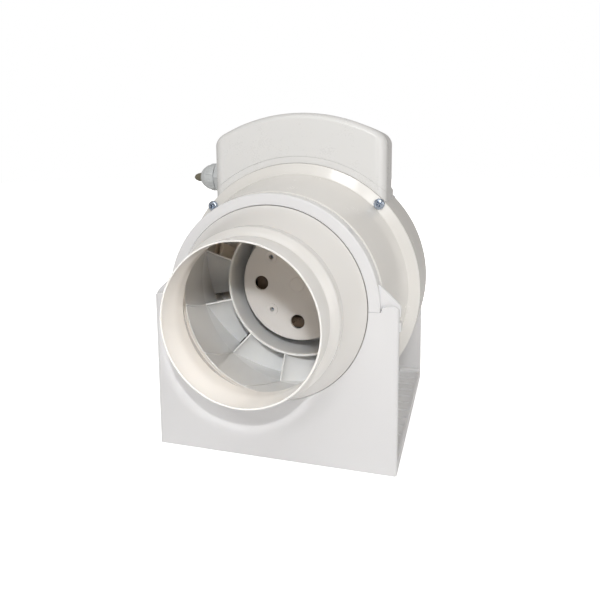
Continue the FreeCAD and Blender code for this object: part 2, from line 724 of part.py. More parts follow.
# ----------------------------------------------------------- motor
bearing_seat = dim.bearing_rad + 0.03
HOUSING_RAD = 14.5       # outside of the bearing housings
COVER_SCREW_SEAT = -22.6  # where the heads of the cover screws sit

end_cover = Solid("motor_end_cover")
end_cover.rev([
    (-dim.cover_y, 0), (-dim.cover_y, dim.cover_rad), (-14.2, dim.cover_rad),
    (-14.2, dim.cover_bore + 0.1), (-24.2, dim.cover_bore + 0.1), (-24.2, HOUSING_RAD),
    (-16.5, HOUSING_RAD), (-16.5, bearing_seat), (-23.6, bearing_seat), (-23.6, 0)])
end_cover.soften(0.8, on_circle(dim.cover_rad, -dim.cover_y))
# raised discs at the middle and round the screws
end_cover.pad("y", [circle(0, 0, 5.6)], -dim.cover_y - 0.5, -dim.cover_y + 0.3)
end_cover.pad("y", ring_circles(dim.vent_ring, 4.6), -dim.cover_y - 0.4, -dim.cover_y + 0.3)
# vents
end_cover.pocket("y", ring_circles(dim.vent_ring, dim.vent_rad, (0, 180, 90, 270)),
                 -dim.cover_y - 1.0, -23.0)
# screw bosses inside, with a counterbore for the head and a pilot hole
end_cover.pad("y", ring_circles(dim.vent_ring, 4.0), -24.4, -19.6)
end_cover.pocket("y", ring_circles(dim.vent_ring, 1.8), -dim.cover_y - 1.0, COVER_SCREW_SEAT)
end_cover.pocket("y", ring_circles(dim.vent_ring, 1.05), -23.0, -19.0)

FLANGE_RAD = 51.5   # flange the motor is fixed by
END_WALL_IN = 11.55  # front face of the case's end wall
motor_case = Solid("motor_case")
motor_case.rev([
    (-14.0, dim.cover_bore), (-14.0, dim.cover_rad), (10.2, dim.cover_rad),
    (10.2, FLANGE_RAD), (dim.motor_flange_y, FLANGE_RAD),
    (dim.motor_flange_y, dim.cover_rad), (14.0, dim.cover_rad), (14.0, 7.0),
    (END_WALL_IN, 7.0), (END_WALL_IN, bearing_seat), (4.6, bearing_seat),
    (4.6, HOUSING_RAD), (END_WALL_IN, HOUSING_RAD), (END_WALL_IN, dim.cover_bore)])
flange_hole = motor_case.pocket("y", ring_circles(dim.motor_screw_ring, 1.7, (45.0,)),
                                9.0, 13.0)
motor_case.polar(flange_hole, 4, grows=False)
motor_case.pocket("z", [circle(0, dim.lead_motor_y, MOTOR_WIRE_HOLE)], 39.0, 45.0)

SLOT_COUNT = 12
stack = Solid("stator_stack")
stack.ring(dim.core_bore, dim.core_rad, -dim.core_front, dim.core_back)
# winding slots, then their mouths at the bore
for slot in (rect(27.0, 36.5, -2.9, 2.9), rect(23.0, 27.5, -1.0, 1.0)):
    slot_cut = stack.pocket("y", [slot], -dim.core_front - 1, dim.core_back + 1)
    stack.polar(slot_cut, SLOT_COUNT, grows=False)

WINDING_IN, WINDING_OUT = 27.4, 36.2
WINDING_FRONT, WINDING_BACK = -17.8, 7.6
windings = Solid("stator_windings")
windings.ring(WINDING_IN, WINDING_OUT, WINDING_FRONT, -12.2)
windings.ring(WINDING_IN, WINDING_OUT, 2.2, WINDING_BACK)
# bars through the slots
bar = windings.pad("y", [rect(27.6, 36.0, -2.5, 2.5)], -12.4, 2.4)
windings.polar(bar, SLOT_COUNT)
windings.soften(1.8, *[on_circle(rad, y) for rad in (WINDING_OUT, WINDING_IN)
                       for y in (WINDING_FRONT, WINDING_BACK)])

END_RING_IN, END_RING_OUT = 16.0, 22.6
Solid("motor_rotor").rev([
    (-14.5, END_RING_IN), (-14.5, END_RING_OUT), (-12.0, END_RING_OUT),
    (-12.0, dim.rotor_rad), (2.0, dim.rotor_rad), (2.0, END_RING_OUT),
    (4.2, END_RING_OUT), (4.2, END_RING_IN), (2.0, END_RING_IN), (2.0, dim.shaft_rad),
    (-12.0, dim.shaft_rad), (-12.0, END_RING_IN)])

Solid("motor_shaft").rev([
    (-23.4, 0), (-23.4, dim.shaft_rad - 0.4), (-23.0, dim.shaft_rad),
    (60.9, dim.shaft_rad), (61.5, dim.shaft_rad - 0.6), (61.5, 0)])

SHIELD_BORE = 6.5    # inside radius of a bearing's side walls
SHIELD_WALL = 0.4
OUTER_RING_IN = 9.0  # inside radius of the outer ring
INNER_RING_OUT = 6.2
BALL_RING = 7.6      # radius the balls run on
BALL_GROOVE = 2.0
BALL_RAD = 1.9
BALL_COUNT = 7


def bearing(name, middle):
    front = middle - dim.bearing_wide * 0.5
    back = middle + dim.bearing_wide * 0.5
    outer = Solid(name + "_outer")
    outer.rev([
        (front, SHIELD_BORE), (front, dim.bearing_rad), (back, dim.bearing_rad),
        (back, SHIELD_BORE), (back - SHIELD_WALL, SHIELD_BORE),
        (back - SHIELD_WALL, OUTER_RING_IN), (front + SHIELD_WALL, OUTER_RING_IN),
        (front + SHIELD_WALL, SHIELD_BORE)])
    outer.ball_groove(middle, BALL_RING, BALL_GROOVE)
    inner = Solid(name + "_inner")
    inner.ring(dim.shaft_rad, INNER_RING_OUT, front, back)
    inner.ball_groove(middle, BALL_RING, BALL_GROOVE)
    balls = []
    for i in range(BALL_COUNT):
        angle = 2 * math.pi * i / BALL_COUNT
        balls.append(Part.makeSphere(BALL_RAD, Vector(
            BALL_RING * math.cos(angle), middle,
            dim.axis_z.value + BALL_RING * math.sin(angle))))
    group = doc.addObject("Part::Feature", name + "_balls_group")
    group.Shape = Part.makeCompound(balls)
    node(name + "_balls", group)


bearing("outlet_bearing", -20.0)
bearing("inlet_bearing", 8.0)

# ----------------------------------------------------------- impeller
# y, hub radius, tip radius, turn in degrees
BLADE_STATIONS = [
    (14.5, 55.0, 79.0, 0.0),
    (26.0, 51.0, 74.4, -20.0),
    (38.0, 43.3, 66.0, -37.0),
    (50.0, 32.0, 57.0, -50.0),
    (59.5, 17.5, 50.2, -57.0),
]
BUSH_RAD = 6.5
WASHER_Y, NUT_Y = 54.0, 54.8  # faces of washer and nut towards the motor

impeller = Solid("impeller")
# hollow hub: outside to the nose, then back through the bore and the inside
impeller.rev([
    (dim.impeller_base, dim.impeller_rad - 2.0), (dim.impeller_base, dim.impeller_rad),
    (22.0, 54.5), (34.0, 48.0), (46.0, 38.0), (56.0, 25.5), (60.5, 17.5),
    (dim.impeller_nose, 13.0), (dim.impeller_nose, 11.0), (WASHER_Y, 11.0),
    (WASHER_Y, BUSH_RAD), (26.0, BUSH_RAD), (26.0, 9.5), (51.0, 9.5),
    (52.0, 27.0), (44.5, 36.0), (32.5, 46.0), (21.0, 52.4)])
half_wall = dim.blade_wall * 0.5
blade = impeller.loft([(y, turn, rect(hub, tip, -half_wall, half_wall))
                       for y, hub, tip, turn in BLADE_STATIONS])
impeller.polar(blade, dim.blade_count)

ring_piece("impeller_bush", dim.shaft_rad, BUSH_RAD, 26.0, 53.0)
Solid("impeller_nut").pad("y", [hexagon(7.4), circle(0, 0, dim.shaft_rad)], NUT_Y, 60.0)
ring_piece("impeller_washer", dim.shaft_rad, 8.5, WASHER_Y, NUT_Y)


# ----------------------------------------------------------- screws
def screw_solid(head_rad, head_high, shank_rad, shank_long):
    """Pan head above z=0, shank below it, cross recess in the head."""
    rim = Vector(head_rad, 0, 0)
    rim_top = Vector(head_rad, 0, head_high * 0.35)
    crown = Vector(0, 0, head_high)
    outline = [
        Part.makeLine(Vector(), rim), Part.makeLine(rim, rim_top),
        Part.Arc(rim_top, Vector(head_rad * 0.72, 0, head_high * 0.86), crown).toShape(),
        Part.makeLine(crown, Vector())]
    head = Part.Face(Part.Wire(outline)).revolve(Vector(), Vector(0, 0, 1), 360)
    tip = shank_rad * 0.9
    shank = Part.makeCylinder(shank_rad, shank_long - tip, Vector(0, 0, -(shank_long - tip)))
    cone = Part.makeCone(shank_rad * 0.35, shank_rad, tip, Vector(0, 0, -shank_long))
    screw = head.fuse([shank, cone]).removeSplitter()
    wide, long, deep = head_rad * 0.22, head_rad * 1.1, head_high * 0.62
    slot_x = Part.makeBox(long, wide, deep + 1, Vector(-long / 2, -wide / 2, head_high - deep))
    slot_y = Part.makeBox(wide, long, deep + 1, Vector(-wide / 2, -long / 2, head_high - deep))
    return screw.cut(slot_x.fuse(slot_y)).Solids[0]


def screws(name, kind, placements):
    """kind: head radius, head height, shank radius, shank length"""
    shapes = []
    for placement in placements:
        shape = screw_solid(*kind)
        shape.Placement = placement
        shapes.append(shape)
    group = doc.addObject("Part::Feature", name + "_group")
    group.Shape = Part.makeCompound(shapes)
    node(name, group)


def facing(x, y, z, head_dir, turn):
    """Placement of a screw by its head's seat, direction and turn."""
    rotation = Rotation(Vector(0, 0, 1), Vector(*head_dir))
    rotation = rotation.multiply(Rotation(Vector(0, 0, 1), turn))
    return Placement(Vector(*(sized(n).value for n in (x, y, z))), rotation)


def ring_screws(name, kind, y, ring, side, angles=DIAGONALS):
    """Screws parallel to the fan axis, heads towards the given side."""
    placements = []
    for i, degrees in enumerate(angles):
        angle = math.radians(degrees)
        placements.append(facing(ring * math.cos(angle), y,
                                 dim.axis_z + ring * math.sin(angle),
                                 (0, side, 0), 20.0 + 31.0 * i))
    screws(name, kind, placements)


CASE_SCREW = (3.9, 2.6, 1.5, 14.0)
ring_screws("outlet_case_screws", CASE_SCREW, -dim.case_pad_y, dim.case_screw_ring,
            -1, CASE_ANGLES)
ring_screws("inlet_case_screws", CASE_SCREW, dim.case_pad_y, dim.inlet_screw_ring,
            1, CASE_ANGLES)
ring_screws("motor_cover_screws", (1.6, 1.1, 1.0, 4.2), COVER_SCREW_SEAT, dim.vent_ring, -1)
ring_screws("motor_fixing_screws", (3.0, 1.9, 1.5, 12.0), dim.motor_flange_y,
            dim.motor_screw_ring, 1)

# ----------------------------------------------------------- terminal box
half = dim.box_half
axis = dim.axis_z
seam = dim.band_rad
wall = dim.box_wall
gland_y, gland_z, tab_half = -dim.gland_y, dim.gland_z, dim.gland_tab
LIP_INSET = 2.7   # lip of the base inside the box's outline
LIP_WALL = 1.6
FOOT_TOP = 93.5   # top of the cover's screw feet above the fan axis


def is_upright(edge):
    ends = edge.Vertexes
    return (len(ends) == 2 and abs(ends[0].X - ends[1].X) < 1e-6
            and abs(ends[0].Y - ends[1].Y) < 1e-6)


def is_side_upright(edge):
    return is_upright(edge) and abs(abs(edge.Vertexes[0].X) - half.value) < 1e-6


def is_crown(edge):
    return edge.BoundBox.ZMin > axis.value + 95


def outline_box(name, inset, bottom, top):
    """The box's outline drawn in by an inset, heights above the fan axis."""
    return box(name, -half + inset, half - inset, -dim.box_front + inset,
               dim.box_back - inset, axis + bottom, axis + top)


def rounded_outline(name, inset, bottom, top):
    sharp = outline_box(name + "_sharp", inset, bottom, top)
    return fillet(name, sharp, dim.box_corner - inset, is_upright)


def cylinder_pair(name, rad, low, high, x, y):
    """Upright cylinders either side of the middle, heights above the fan axis."""
    return [cylinder("%s_%d" % (name, i), rad, axis + low, axis + high,
                     x=x_sign * x, y=y, axis="z") for i, x_sign in enumerate((-1, 1))]


# base: a saddle on the drum, with a lip inside the cover and a tab for the gland
base = common("box_base_blank", [
    cylinder("base_round", seam, -dim.box_front - 0.2, dim.ledge_y, z=axis),
    box("base_block", -half, half, -dim.box_front - 0.2, dim.ledge_y, axis + 40, axis + 110)])
base = fillet("box_base_uprights", base, dim.box_corner, is_side_upright)
lip = common("box_lip_blank", [
    cylinder("lip_round", seam + 3.4, -dim.box_front + LIP_INSET, dim.box_back - LIP_INSET,
             z=axis),
    rounded_outline("lip_outside", LIP_INSET, 55, 110)])
lip = cut("box_lip", lip, rounded_outline("lip_inside", LIP_INSET + LIP_WALL, 30, 120))
tab = box("gland_tab_low", -half, -half + wall, gland_y - tab_half, gland_y + tab_half,
          axis + 64.5, gland_z)
tab_top = cylinder("gland_tab_top", tab_half, -half, -half + wall, y=gland_y, z=gland_z,
                   axis="x")
collar = cylinder("lead_collar", 6.6, axis + 93, axis + seam + 1.6, y=dim.lead_y, axis="z")
base_pads = cylinder_pair("base_pad", 4.2, 92.5, seam, dim.base_screw_x, -dim.base_screw_y)
base = fuse("box_base_fused", [base, lip, tab, tab_top, collar] + base_pads)
base = cut("box_base_bored", base, cylinder("base_bore", dim.drum_rad + 0.1, -40, 40, z=axis))
# room for the gland's locknut against the inside of the tab
base = cut("box_base_nut_room", base, box(
    "nut_room", -half + wall, -half + 6.4, gland_y - 12.4, gland_y + 12.4,
    gland_z - 10.4, gland_z + 12.0))
holes = [cylinder("gland_hole", dim.gland_rad + 0.1, -half - 5, -half + 14,
                  y=gland_y, z=gland_z, axis="x"),
         cylinder("lead_hole", LEAD_HOLE_RAD, axis + 80, axis + 110, y=dim.lead_y, axis="z")]
holes += cylinder_pair("base_screw_hole", BASE_SCREW_RAD, 80, 110,
                       dim.base_screw_x, -dim.base_screw_y)
holes += cylinder_pair("cover_screw_pilot", 1.6, 70, 100,
                       dim.cover_screw_x, dim.cover_screw_y)
base = cut("box_base_done", base, fuse("box_base_tools", holes))
node("terminal_box_base", base)

cover = common("cover_blank", [
    cylinder("cover_round", dim.box_rad, -dim.box_front, dim.box_back, z=axis),
    outline_box("cover_block", 0, 50, 135)])
cover = fillet("cover_uprights", cover, dim.box_corner, is_side_upright)
cover = fillet("cover_crown", cover, dim.box_edge, is_crown)
feet = [box("cover_foot_%d" % i, x_sign * dim.cover_screw_x - 5.5,
            x_sign * dim.cover_screw_x + 5.5, dim.box_back - 1.5, 21.0,
            axis + 82, axis + FOOT_TOP) for i, x_sign in enumerate((-1, 1))]
cover = fuse("cover_feet", [cover] + feet)
cover = cut("cover_underside", cover, cylinder("cover_seam", seam + 0.1, -60, 60, z=axis))
room = common("cover_room", [
    cylinder("room_round", dim.box_rad - wall, -dim.box_front + wall, dim.box_back - wall,
             z=axis),
    outline_box("room_block", wall, 40, 135)])
room = fillet("cover_room_uprights", room, dim.box_corner - wall, is_upright)
cover = cut("cover_hollow", cover, room)
# slot that fits over the gland's tab
slot_half = tab_half + 0.2
slot = fuse("gland_slot", [
    box("slot_low", -half - 2, -half + wall + 3, gland_y - slot_half, gland_y + slot_half,
        axis + 50, gland_z),
    cylinder("slot_top", slot_half, -half - 2, -half + wall + 3, y=gland_y, z=gland_z,
             axis="x")])
cover = cut("cover_slotted", cover, slot)
holes = fuse("cover_screw_holes", cylinder_pair(
    "cover_screw_hole", 1.8, 75, 99, dim.cover_screw_x, dim.cover_screw_y))
node("terminal_box_cover", cut("cover_done", cover, holes))

screws("cover_screws", (3.2, 2.0, 1.5, 10.6),
       [facing(x_sign * dim.cover_screw_x, dim.cover_screw_y, axis + FOOT_TOP,
               (0, 0, 1), 15.0 + 40 * x_sign) for x_sign in (-1, 1)])
screws("box_base_screws", (3.4, 2.1, 1.5, 9.6),
       [facing(x_sign * dim.base_screw_x, -dim.base_screw_y, axis + seam,
               (0, 0, 1), 10.0 + 33 * x_sign) for x_sign in (-1, 1)])

# ------------------------------------------------ parts on the box floor
# They are drawn at the crown of the floor and tilted about the fan axis.
BLOCK_TILT = Rotation(Vector(0, 1, 0), -19.0)
CAPACITOR_TILT = Rotation(Vector(0, 1, 0), 20.0)

pole_places = [-14.4 + 9.6 * i for i in range(4)]
POLE_Y = -10.0
block = Solid("terminal_block", rotation=BLOCK_TILT)
block.pad("z", [rect(-19.0, 19.0, -17.0, -3.0)], seam + 0.1, seam + 9.0)
block.pad("z", [rect(x - 4.6, x + 4.6, POLE_Y - 4.0, POLE_Y + 4.0) for x in pole_places],
          seam + 8.0, seam + 13.5)
# screw wells from above, wire holes from front to back
block.pocket("z", [circle(x, POLE_Y, 2.4) for x in pole_places], seam + 7.0, seam + 14.0)
block.pocket("y", [circle(x, seam + 5.0, 1.9) for x in pole_places], -17.5, -2.5)
block_place = Placement(Vector(0, 0, axis.value), BLOCK_TILT)
screws("terminal_screws", (2.2, 1.6, 1.6, 2.5),
       [Placement(block_place.multVec(Vector(x, POLE_Y, seam.value + 9.6)), BLOCK_TILT)
        for x in pole_places])

CAPACITOR_Y, CAPACITOR_RAD = -9.0, 10.0
capacitor_z = seam + 11.4
capacitor = Solid("run_capacitor", rotation=CAPACITOR_TILT)
capacitor.pad("x", [circle(CAPACITOR_Y, capacitor_z, CAPACITOR_RAD)], -17.0, 17.0)
capacitor.soften(1.5, on_circle(CAPACITOR_RAD))
# two pins at its -X end
capacitor.pad("x", [circle(CAPACITOR_Y + offset, capacitor_z, 1.4) for offset in (-3.0, 3.0)],
              -21.0, -16.0)
clip = Solid("capacitor_clip", rotation=CAPACITOR_TILT)
clip.pad("x", [circle(CAPACITOR_Y, capacitor_z, 11.2),
               circle(CAPACITOR_Y, capacitor_z, CAPACITOR_RAD + 0.05)], -5.0, 5.0)
clip.pad("x", [rect(-20.1, -19.0, seam + 0.2, capacitor_z),
               rect(1.05, 2.1, seam + 0.2, capacitor_z)], -5.0, 5.0)


# ------------------------------------------------------------ cable gland
# Turned parts drawn along Y, then turned to face -X.
def gland_piece(name):
    return Solid(name, gland_y, gland_z, Rotation(Vector(0, 0, 1), 90))


gland_hexagon = hexagon(20.0 / math.sqrt(3.0))  # 20 mm across flats

gland = gland_piece("gland_body")
gland.ring(5.2, dim.gland_rad, 59.0, 77.8)
gland.pad("y", [gland_hexagon, circle(0, 0, 7.0)], half + 0.1, half + 5.2)
cap = gland_piece("gland_cap")
cap.rev([(71.3, 8.0), (71.3, 10.4), (74.5, 10.4), (79.0, 9.2), (82.6, 7.0), (84.4, 4.9),
         (84.4, 4.2), (83.0, 4.2), (78.5, 7.9), (78.5, 8.0)])
grip_rib = cap.pad("y", [rect(9.0, 10.9, -1.2, 1.2)], 72.0, 77.0)
cap.polar(grip_rib, 10)
gland_piece("gland_seal").rev([
    (77.9, 3.7), (77.9, 7.6), (78.4, 7.6), (82.7, 4.05), (84.9, 4.05), (84.9, 3.7)])
gland_piece("gland_locknut").pad(
    "y", [gland_hexagon, circle(0, 0, dim.gland_rad + 0.02)],
    half - wall - 3.6, half - wall - 0.02)
gland_piece("gland_plug").rev([
    (62.0, 0), (62.0, 3.2), (77.5, 3.6), (85.5, 3.6), (88.4, 3.1), (90.5, 2.2),
    (91.5, 1.0), (91.5, 0)])

# ------------------------------------------- motor lead and its grommet
GROMMET_BORE = 2.15
LEAD_RAD = 2.0
grommet = Solid("lead_grommet")
for rad, low, high in ((4.9, 87.0, seam + 2.4), (6.2, seam + 1.7, seam + 3.2)):
    grommet.pad("z", [circle(0, dim.lead_y, rad), circle(0, dim.lead_y, GROMMET_BORE)],
                low, high)


def lead_point(x, y, height):
    """A point at a height above the fan axis."""
    return Vector(x, y, axis.value + height)


# straight out of the motor, a jog forward, straight through the grommet,
# then a bend over towards -X
top_y, motor_y = dim.lead_y.value, dim.lead_motor_y.value
lead_start = lead_point(0, motor_y, 36.6)
jog_start, jog_end = lead_point(0, motor_y, 58.0), lead_point(0, top_y, 84.0)
bend_start = lead_point(0, top_y, 99.0)
jog = Part.BSplineCurve()
jog.interpolate([jog_start, lead_point(0, (motor_y + top_y) / 2, 71.0), jog_end],
                InitialTangent=Vector(0, 0, 1), FinalTangent=Vector(0, 0, 1))
bend = Part.BSplineCurve()
bend.interpolate([bend_start, lead_point(-1.2, top_y, 102.6), lead_point(-7.0, top_y, 105.2),
                  lead_point(-15.0, top_y, 104.0), lead_point(-24.0, top_y + 0.2, 99.5)],
                 InitialTangent=Vector(0, 0, 1), FinalTangent=Vector(-0.8, 0, -0.6))
path = Part.Wire([Part.makeLine(lead_start, jog_start), jog.toShape(),
                  Part.makeLine(jog_end, bend_start), bend.toShape()])
section = Part.Wire([Part.makeCircle(LEAD_RAD, lead_start, Vector(0, 0, 1))])
lead = doc.addObject("Part::Feature", "motor_lead_sweep")
lead.Shape = path.makePipeShell([section], True, True)
node("motor_lead", lead)

# ----------------------------------------------------------- check and write
doc.recompute()
bad = ["%s %s" % (obj.Name, obj.State) for obj in doc.Objects if is_failed(obj)]
for name, obj in NODES.items():
    if obj.Shape.isNull() or not obj.Shape.isValid() or not obj.Shape.Solids:
        bad.append("%s has no valid solid" % name)
if bad:
    raise RuntimeError("; ".join(bad))
os.makedirs("parts", exist_ok=True)
for old in os.listdir("parts"):
    if old.endswith(".step"):
        os.remove(os.path.join("parts", old))
for name, obj in NODES.items():
    obj.Shape.exportStep("parts/%s.step" % name)
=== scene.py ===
import bpy, bmesh, math
import numpy as np
from mathutils import Vector, Matrix


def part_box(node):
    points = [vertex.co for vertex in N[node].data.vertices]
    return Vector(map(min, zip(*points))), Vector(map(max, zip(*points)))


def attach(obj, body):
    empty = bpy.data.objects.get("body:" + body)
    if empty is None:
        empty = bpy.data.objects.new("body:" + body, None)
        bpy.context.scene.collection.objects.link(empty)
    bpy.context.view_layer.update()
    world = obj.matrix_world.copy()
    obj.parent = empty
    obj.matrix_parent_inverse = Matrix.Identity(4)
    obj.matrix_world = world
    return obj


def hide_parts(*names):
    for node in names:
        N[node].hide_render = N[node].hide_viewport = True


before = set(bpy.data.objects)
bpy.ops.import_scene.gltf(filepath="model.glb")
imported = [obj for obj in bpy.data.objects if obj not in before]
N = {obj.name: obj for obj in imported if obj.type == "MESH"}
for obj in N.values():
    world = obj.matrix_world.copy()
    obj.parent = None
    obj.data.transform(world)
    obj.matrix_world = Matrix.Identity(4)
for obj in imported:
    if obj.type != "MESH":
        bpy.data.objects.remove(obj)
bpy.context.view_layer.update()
MM = 0.001

# ------------------------------------------------------------------ frame
_lo, _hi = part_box("outlet_spigot")
AX = (_lo.z + _hi.z) / 2 / MM                  # fan axis height, mm
MOUTH = -_lo.y / MM                            # spigot mouth, mm from the middle
_lo, _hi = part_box("mounting_cradle")
CRADLE_Y = _hi.y / MM
CRADLE_TOP = _hi.z / MM
_lo, _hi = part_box("terminal_box_cover")
BOX_H = _hi.x / MM
BOX_F = _lo.y / MM


# ------------------------------------------------------------ mesh helpers
def link(mesh, name):
    o = bpy.data.objects.new(name, mesh)
    bpy.context.scene.collection.objects.link(o)
    return o


def obj_from(verts, faces, name):
    me = bpy.data.meshes.new(name)
    me.from_pydata([tuple(v) for v in np.asarray(verts, float) * MM], [], faces)
    me.validate()
    bm = bmesh.new()
    bm.from_mesh(me)
    bmesh.ops.remove_doubles(bm, verts=bm.verts, dist=1e-7)
    bmesh.ops.recalc_face_normals(bm, faces=bm.faces)
    bm.to_mesh(me)
    bm.free()
    for p in me.polygons:
        p.use_smooth = True
    return link(me, name)


def round_poly(pts, closed=True, step=12.0):
    """pts: (a, b, fillet radius). Returns the outline with its corners rounded."""
    out = []
    n = len(pts)
    for i in range(n):
        p = np.array(pts[i][:2], float)
        f = pts[i][2] if len(pts[i]) > 2 else 0.0
        if f <= 0 or (not closed and i in (0, n - 1)):
            out.append(p)
            continue
        a = np.array(pts[i - 1][:2], float)
        b = np.array(pts[(i + 1) % n][:2], float)
        u, v = a - p, b - p
        lu, lv = np.linalg.norm(u), np.linalg.norm(v)
        u, v = u / lu, v / lv
        ang = math.acos(max(-1, min(1, float(u @ v))))
        if ang > math.pi - 0.02:
            out.append(p)
            continue
        t = min(f / math.tan(ang / 2), lu * 0.49, lv * 0.49)
        f2 = t * math.tan(ang / 2)
        bis = (u + v) / np.linalg.norm(u + v)
        c = p + bis * f2 / math.sin(ang / 2)
        s, e = p + u * t, p + v * t
        k = max(2, int(math.degrees(math.pi - ang) / step) + 1)
        a0 = math.atan2(*(s - c)[::-1])
        a1 = math.atan2(*(e - c)[::-1])
        da = (a1 - a0 + math.pi) % (2 * math.pi) - math.pi
        for j in range(k + 1):
            q = a0 + da * j / k
            out.append(c + f2 * np.array([math.cos(q), math.sin(q)]))
    return out


def lathe(name, pts, seg=288, a0=0.0, a1=360.0, step=12.0, wob=None):
    """Closed profile of (y, r, fillet) turned about the fan axis. Angle 0 is +X, 90 is up."""
    prof = round_poly(pts, True, step)
    m = len(prof)
    full = abs(a1 - a0) >= 359.999
    cols = seg if full else seg + 1
    verts = []
    for i in range(cols):
        a = math.radians(a0 + (a1 - a0) * i / seg)
        for y, r in prof:
            rr = r if wob is None else wob(a, y, r)
            verts.append((rr * math.cos(a), y, AX + rr * math.sin(a)))
    faces = []
    for i in range(seg):
        i2 = (i + 1) % cols if full else i + 1
        for j in range(m):
            j2 = (j + 1) % m
            faces.append((i * m + j, i * m + j2, i2 * m + j2, i2 * m + j))
    if not full:
        faces.append(tuple(range(m)))
        faces.append(tuple((cols - 1) * m + j for j in reversed(range(m))))
    return obj_from(verts, faces, name)


def prism(name, outer, holes, lo, hi, axis="y", bevel=0.4, segs=3):
    """Flat piece from a rounded outline with holes, with softened edges.
    Outline coordinates: axis y -> (x, z), axis z -> (x, y), axis x -> (y, z)."""
    cu = bpy.data.curves.new(name, "CURVE")
    cu.dimensions = "2D"
    cu.fill_mode = "BOTH"
    for loop in [outer] + list(holes):
        sp = cu.splines.new("POLY")
        sp.points.add(len(loop) - 1)
        for k, p in enumerate(loop):
            sp.points[k].co = (p[0] * MM, p[1] * MM, 0, 1)
        sp.use_cyclic_u = True
    half = (hi - lo) / 2
    bevel = min(bevel, half * 0.9)
    cu.extrude = (half - bevel) * MM
    cu.bevel_depth = bevel * MM
    cu.bevel_resolution = segs - 1
    cu.offset = -bevel * MM
    o = bpy.data.objects.new(name + "_c", cu)
    bpy.context.scene.collection.objects.link(o)
    bpy.context.view_layer.update()
    dg = bpy.context.evaluated_depsgraph_get()
    me = bpy.data.meshes.new_from_object(o.evaluated_get(dg))
    bpy.data.objects.remove(o)
    bpy.data.curves.remove(cu)
    mid = (lo + hi) / 2 * MM
    if axis == "y":     # local x->X, y->Z, z->-Y
        m = Matrix(((1, 0, 0, 0), (0, 0, -1, mid), (0, 1, 0, 0), (0, 0, 0, 1)))
    elif axis == "z":
        m = Matrix(((1, 0, 0, 0), (0, 1, 0, 0), (0, 0, 1, mid), (0, 0, 0, 1)))
    else:               # local x->Y, y->Z, z->X
        m = Matrix(((0, 0, 1, mid), (1, 0, 0, 0), (0, 1, 0, 0), (0, 0, 0, 1)))
    me.transform(m)
    bm = bmesh.new()
    bm.from_mesh(me)
    bmesh.ops.remove_doubles(bm, verts=bm.verts, dist=2e-6)
    bmesh.ops.recalc_face_normals(bm, faces=bm.faces)
    bm.to_mesh(me)
    bm.free()
    for p in me.polygons:
        p.use_smooth = True
    me.name = name
    return link(me, name)


def circle(cx, cy, r, n=64):
    return [(cx + r * math.cos(2 * math.pi * i / n), cy + r * math.sin(2 * math.pi * i / n)) for i in range(n)]


def rrect(x0, x1, y0, y1, r):
    return round_poly([(x0, y0, r), (x1, y0, r), (x1, y1, r), (x0, y1, r)])


def join(objs, name):
    base = objs[0]
    if len(objs) > 1:
        bm = bmesh.new()
        for o in objs:
            me = o.data
            me.transform(o.matrix_world)
            bm.from_mesh(me)
        me = bpy.data.meshes.new(name)
        bm.to_mesh(me)
        bm.free()
        for p in me.polygons:
            p.use_smooth = True
        for o in objs:
            bpy.data.objects.remove(o)
        base = link(me, name)
    base.name = name
    base.data.name = name
    return base


def union(objs, name):
    """One closed mesh from overlapping closed pieces."""
    base = objs[0]
    for o in objs[1:]:
        md = base.modifiers.new("u", "BOOLEAN")
        md.operation = "UNION"
        md.solver = "MANIFOLD"
        md.object = o
    want = sum(volume(o) for o in objs)
    bpy.context.view_layer.update()
    dg = bpy.context.evaluated_depsgraph_get()
    me = bpy.data.meshes.new_from_object(base.evaluated_get(dg))
    for o in objs:
        bpy.data.objects.remove(o)
    out = link(me, name)
    me.name = name
    for p in me.polygons:
        p.use_smooth = True
    got = volume(out)
    if not 0.4 * want < got <= want * 1.001:
        print("UNION CHECK", name, round(want), round(got))
    return out


def volume(o):
    bm = bmesh.new()
    bm.from_mesh(o.data)
    v = bm.calc_volume() * 1e9
    bm.free()
    return v


def apply_mods(o):
    bpy.context.view_layer.update()
    dg = bpy.context.evaluated_depsgraph_get()
    me = bpy.data.meshes.new_from_object(o.evaluated_get(dg))
    o.modifiers.clear()
    o.data = me
    for p in me.polygons:
        p.use_smooth = True
    return o


def boolean(o, tool, op="DIFFERENCE"):
    md = o.modifiers.new("b", "BOOLEAN")
    md.operation = op
    md.solver = "MANIFOLD"
    md.object = tool
    apply_mods(o)
    bpy.data.objects.remove(tool)
    return o


def crisp(o, angle=38.0, weighted=True):
    """Smooth shading that stays flat on the big faces and sharp on true edges."""
    me = o.data
    for p in me.polygons:
        p.use_smooth = True
    me.set_sharp_from_angle(angle=math.radians(angle))
    if weighted:
        md = o.modifiers.new("normals", "WEIGHTED_NORMAL")
        md.mode = "FACE_AREA"
        md.weight = 60
        md.keep_sharp = True
    return o


def place(o, body, nodes, mat, angle=38.0):
    crisp(o, angle)
    o.data.materials.clear()
    o.data.materials.append(mat)
    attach(o, body)
    if nodes:
        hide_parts(*nodes)
    return o


# --------------------------------------------------------------- materials
def srgb(c):
    return [((v / 12.92) if v <= 0.04045 else ((v + 0.055) / 1.055) ** 2.4) for v in c]


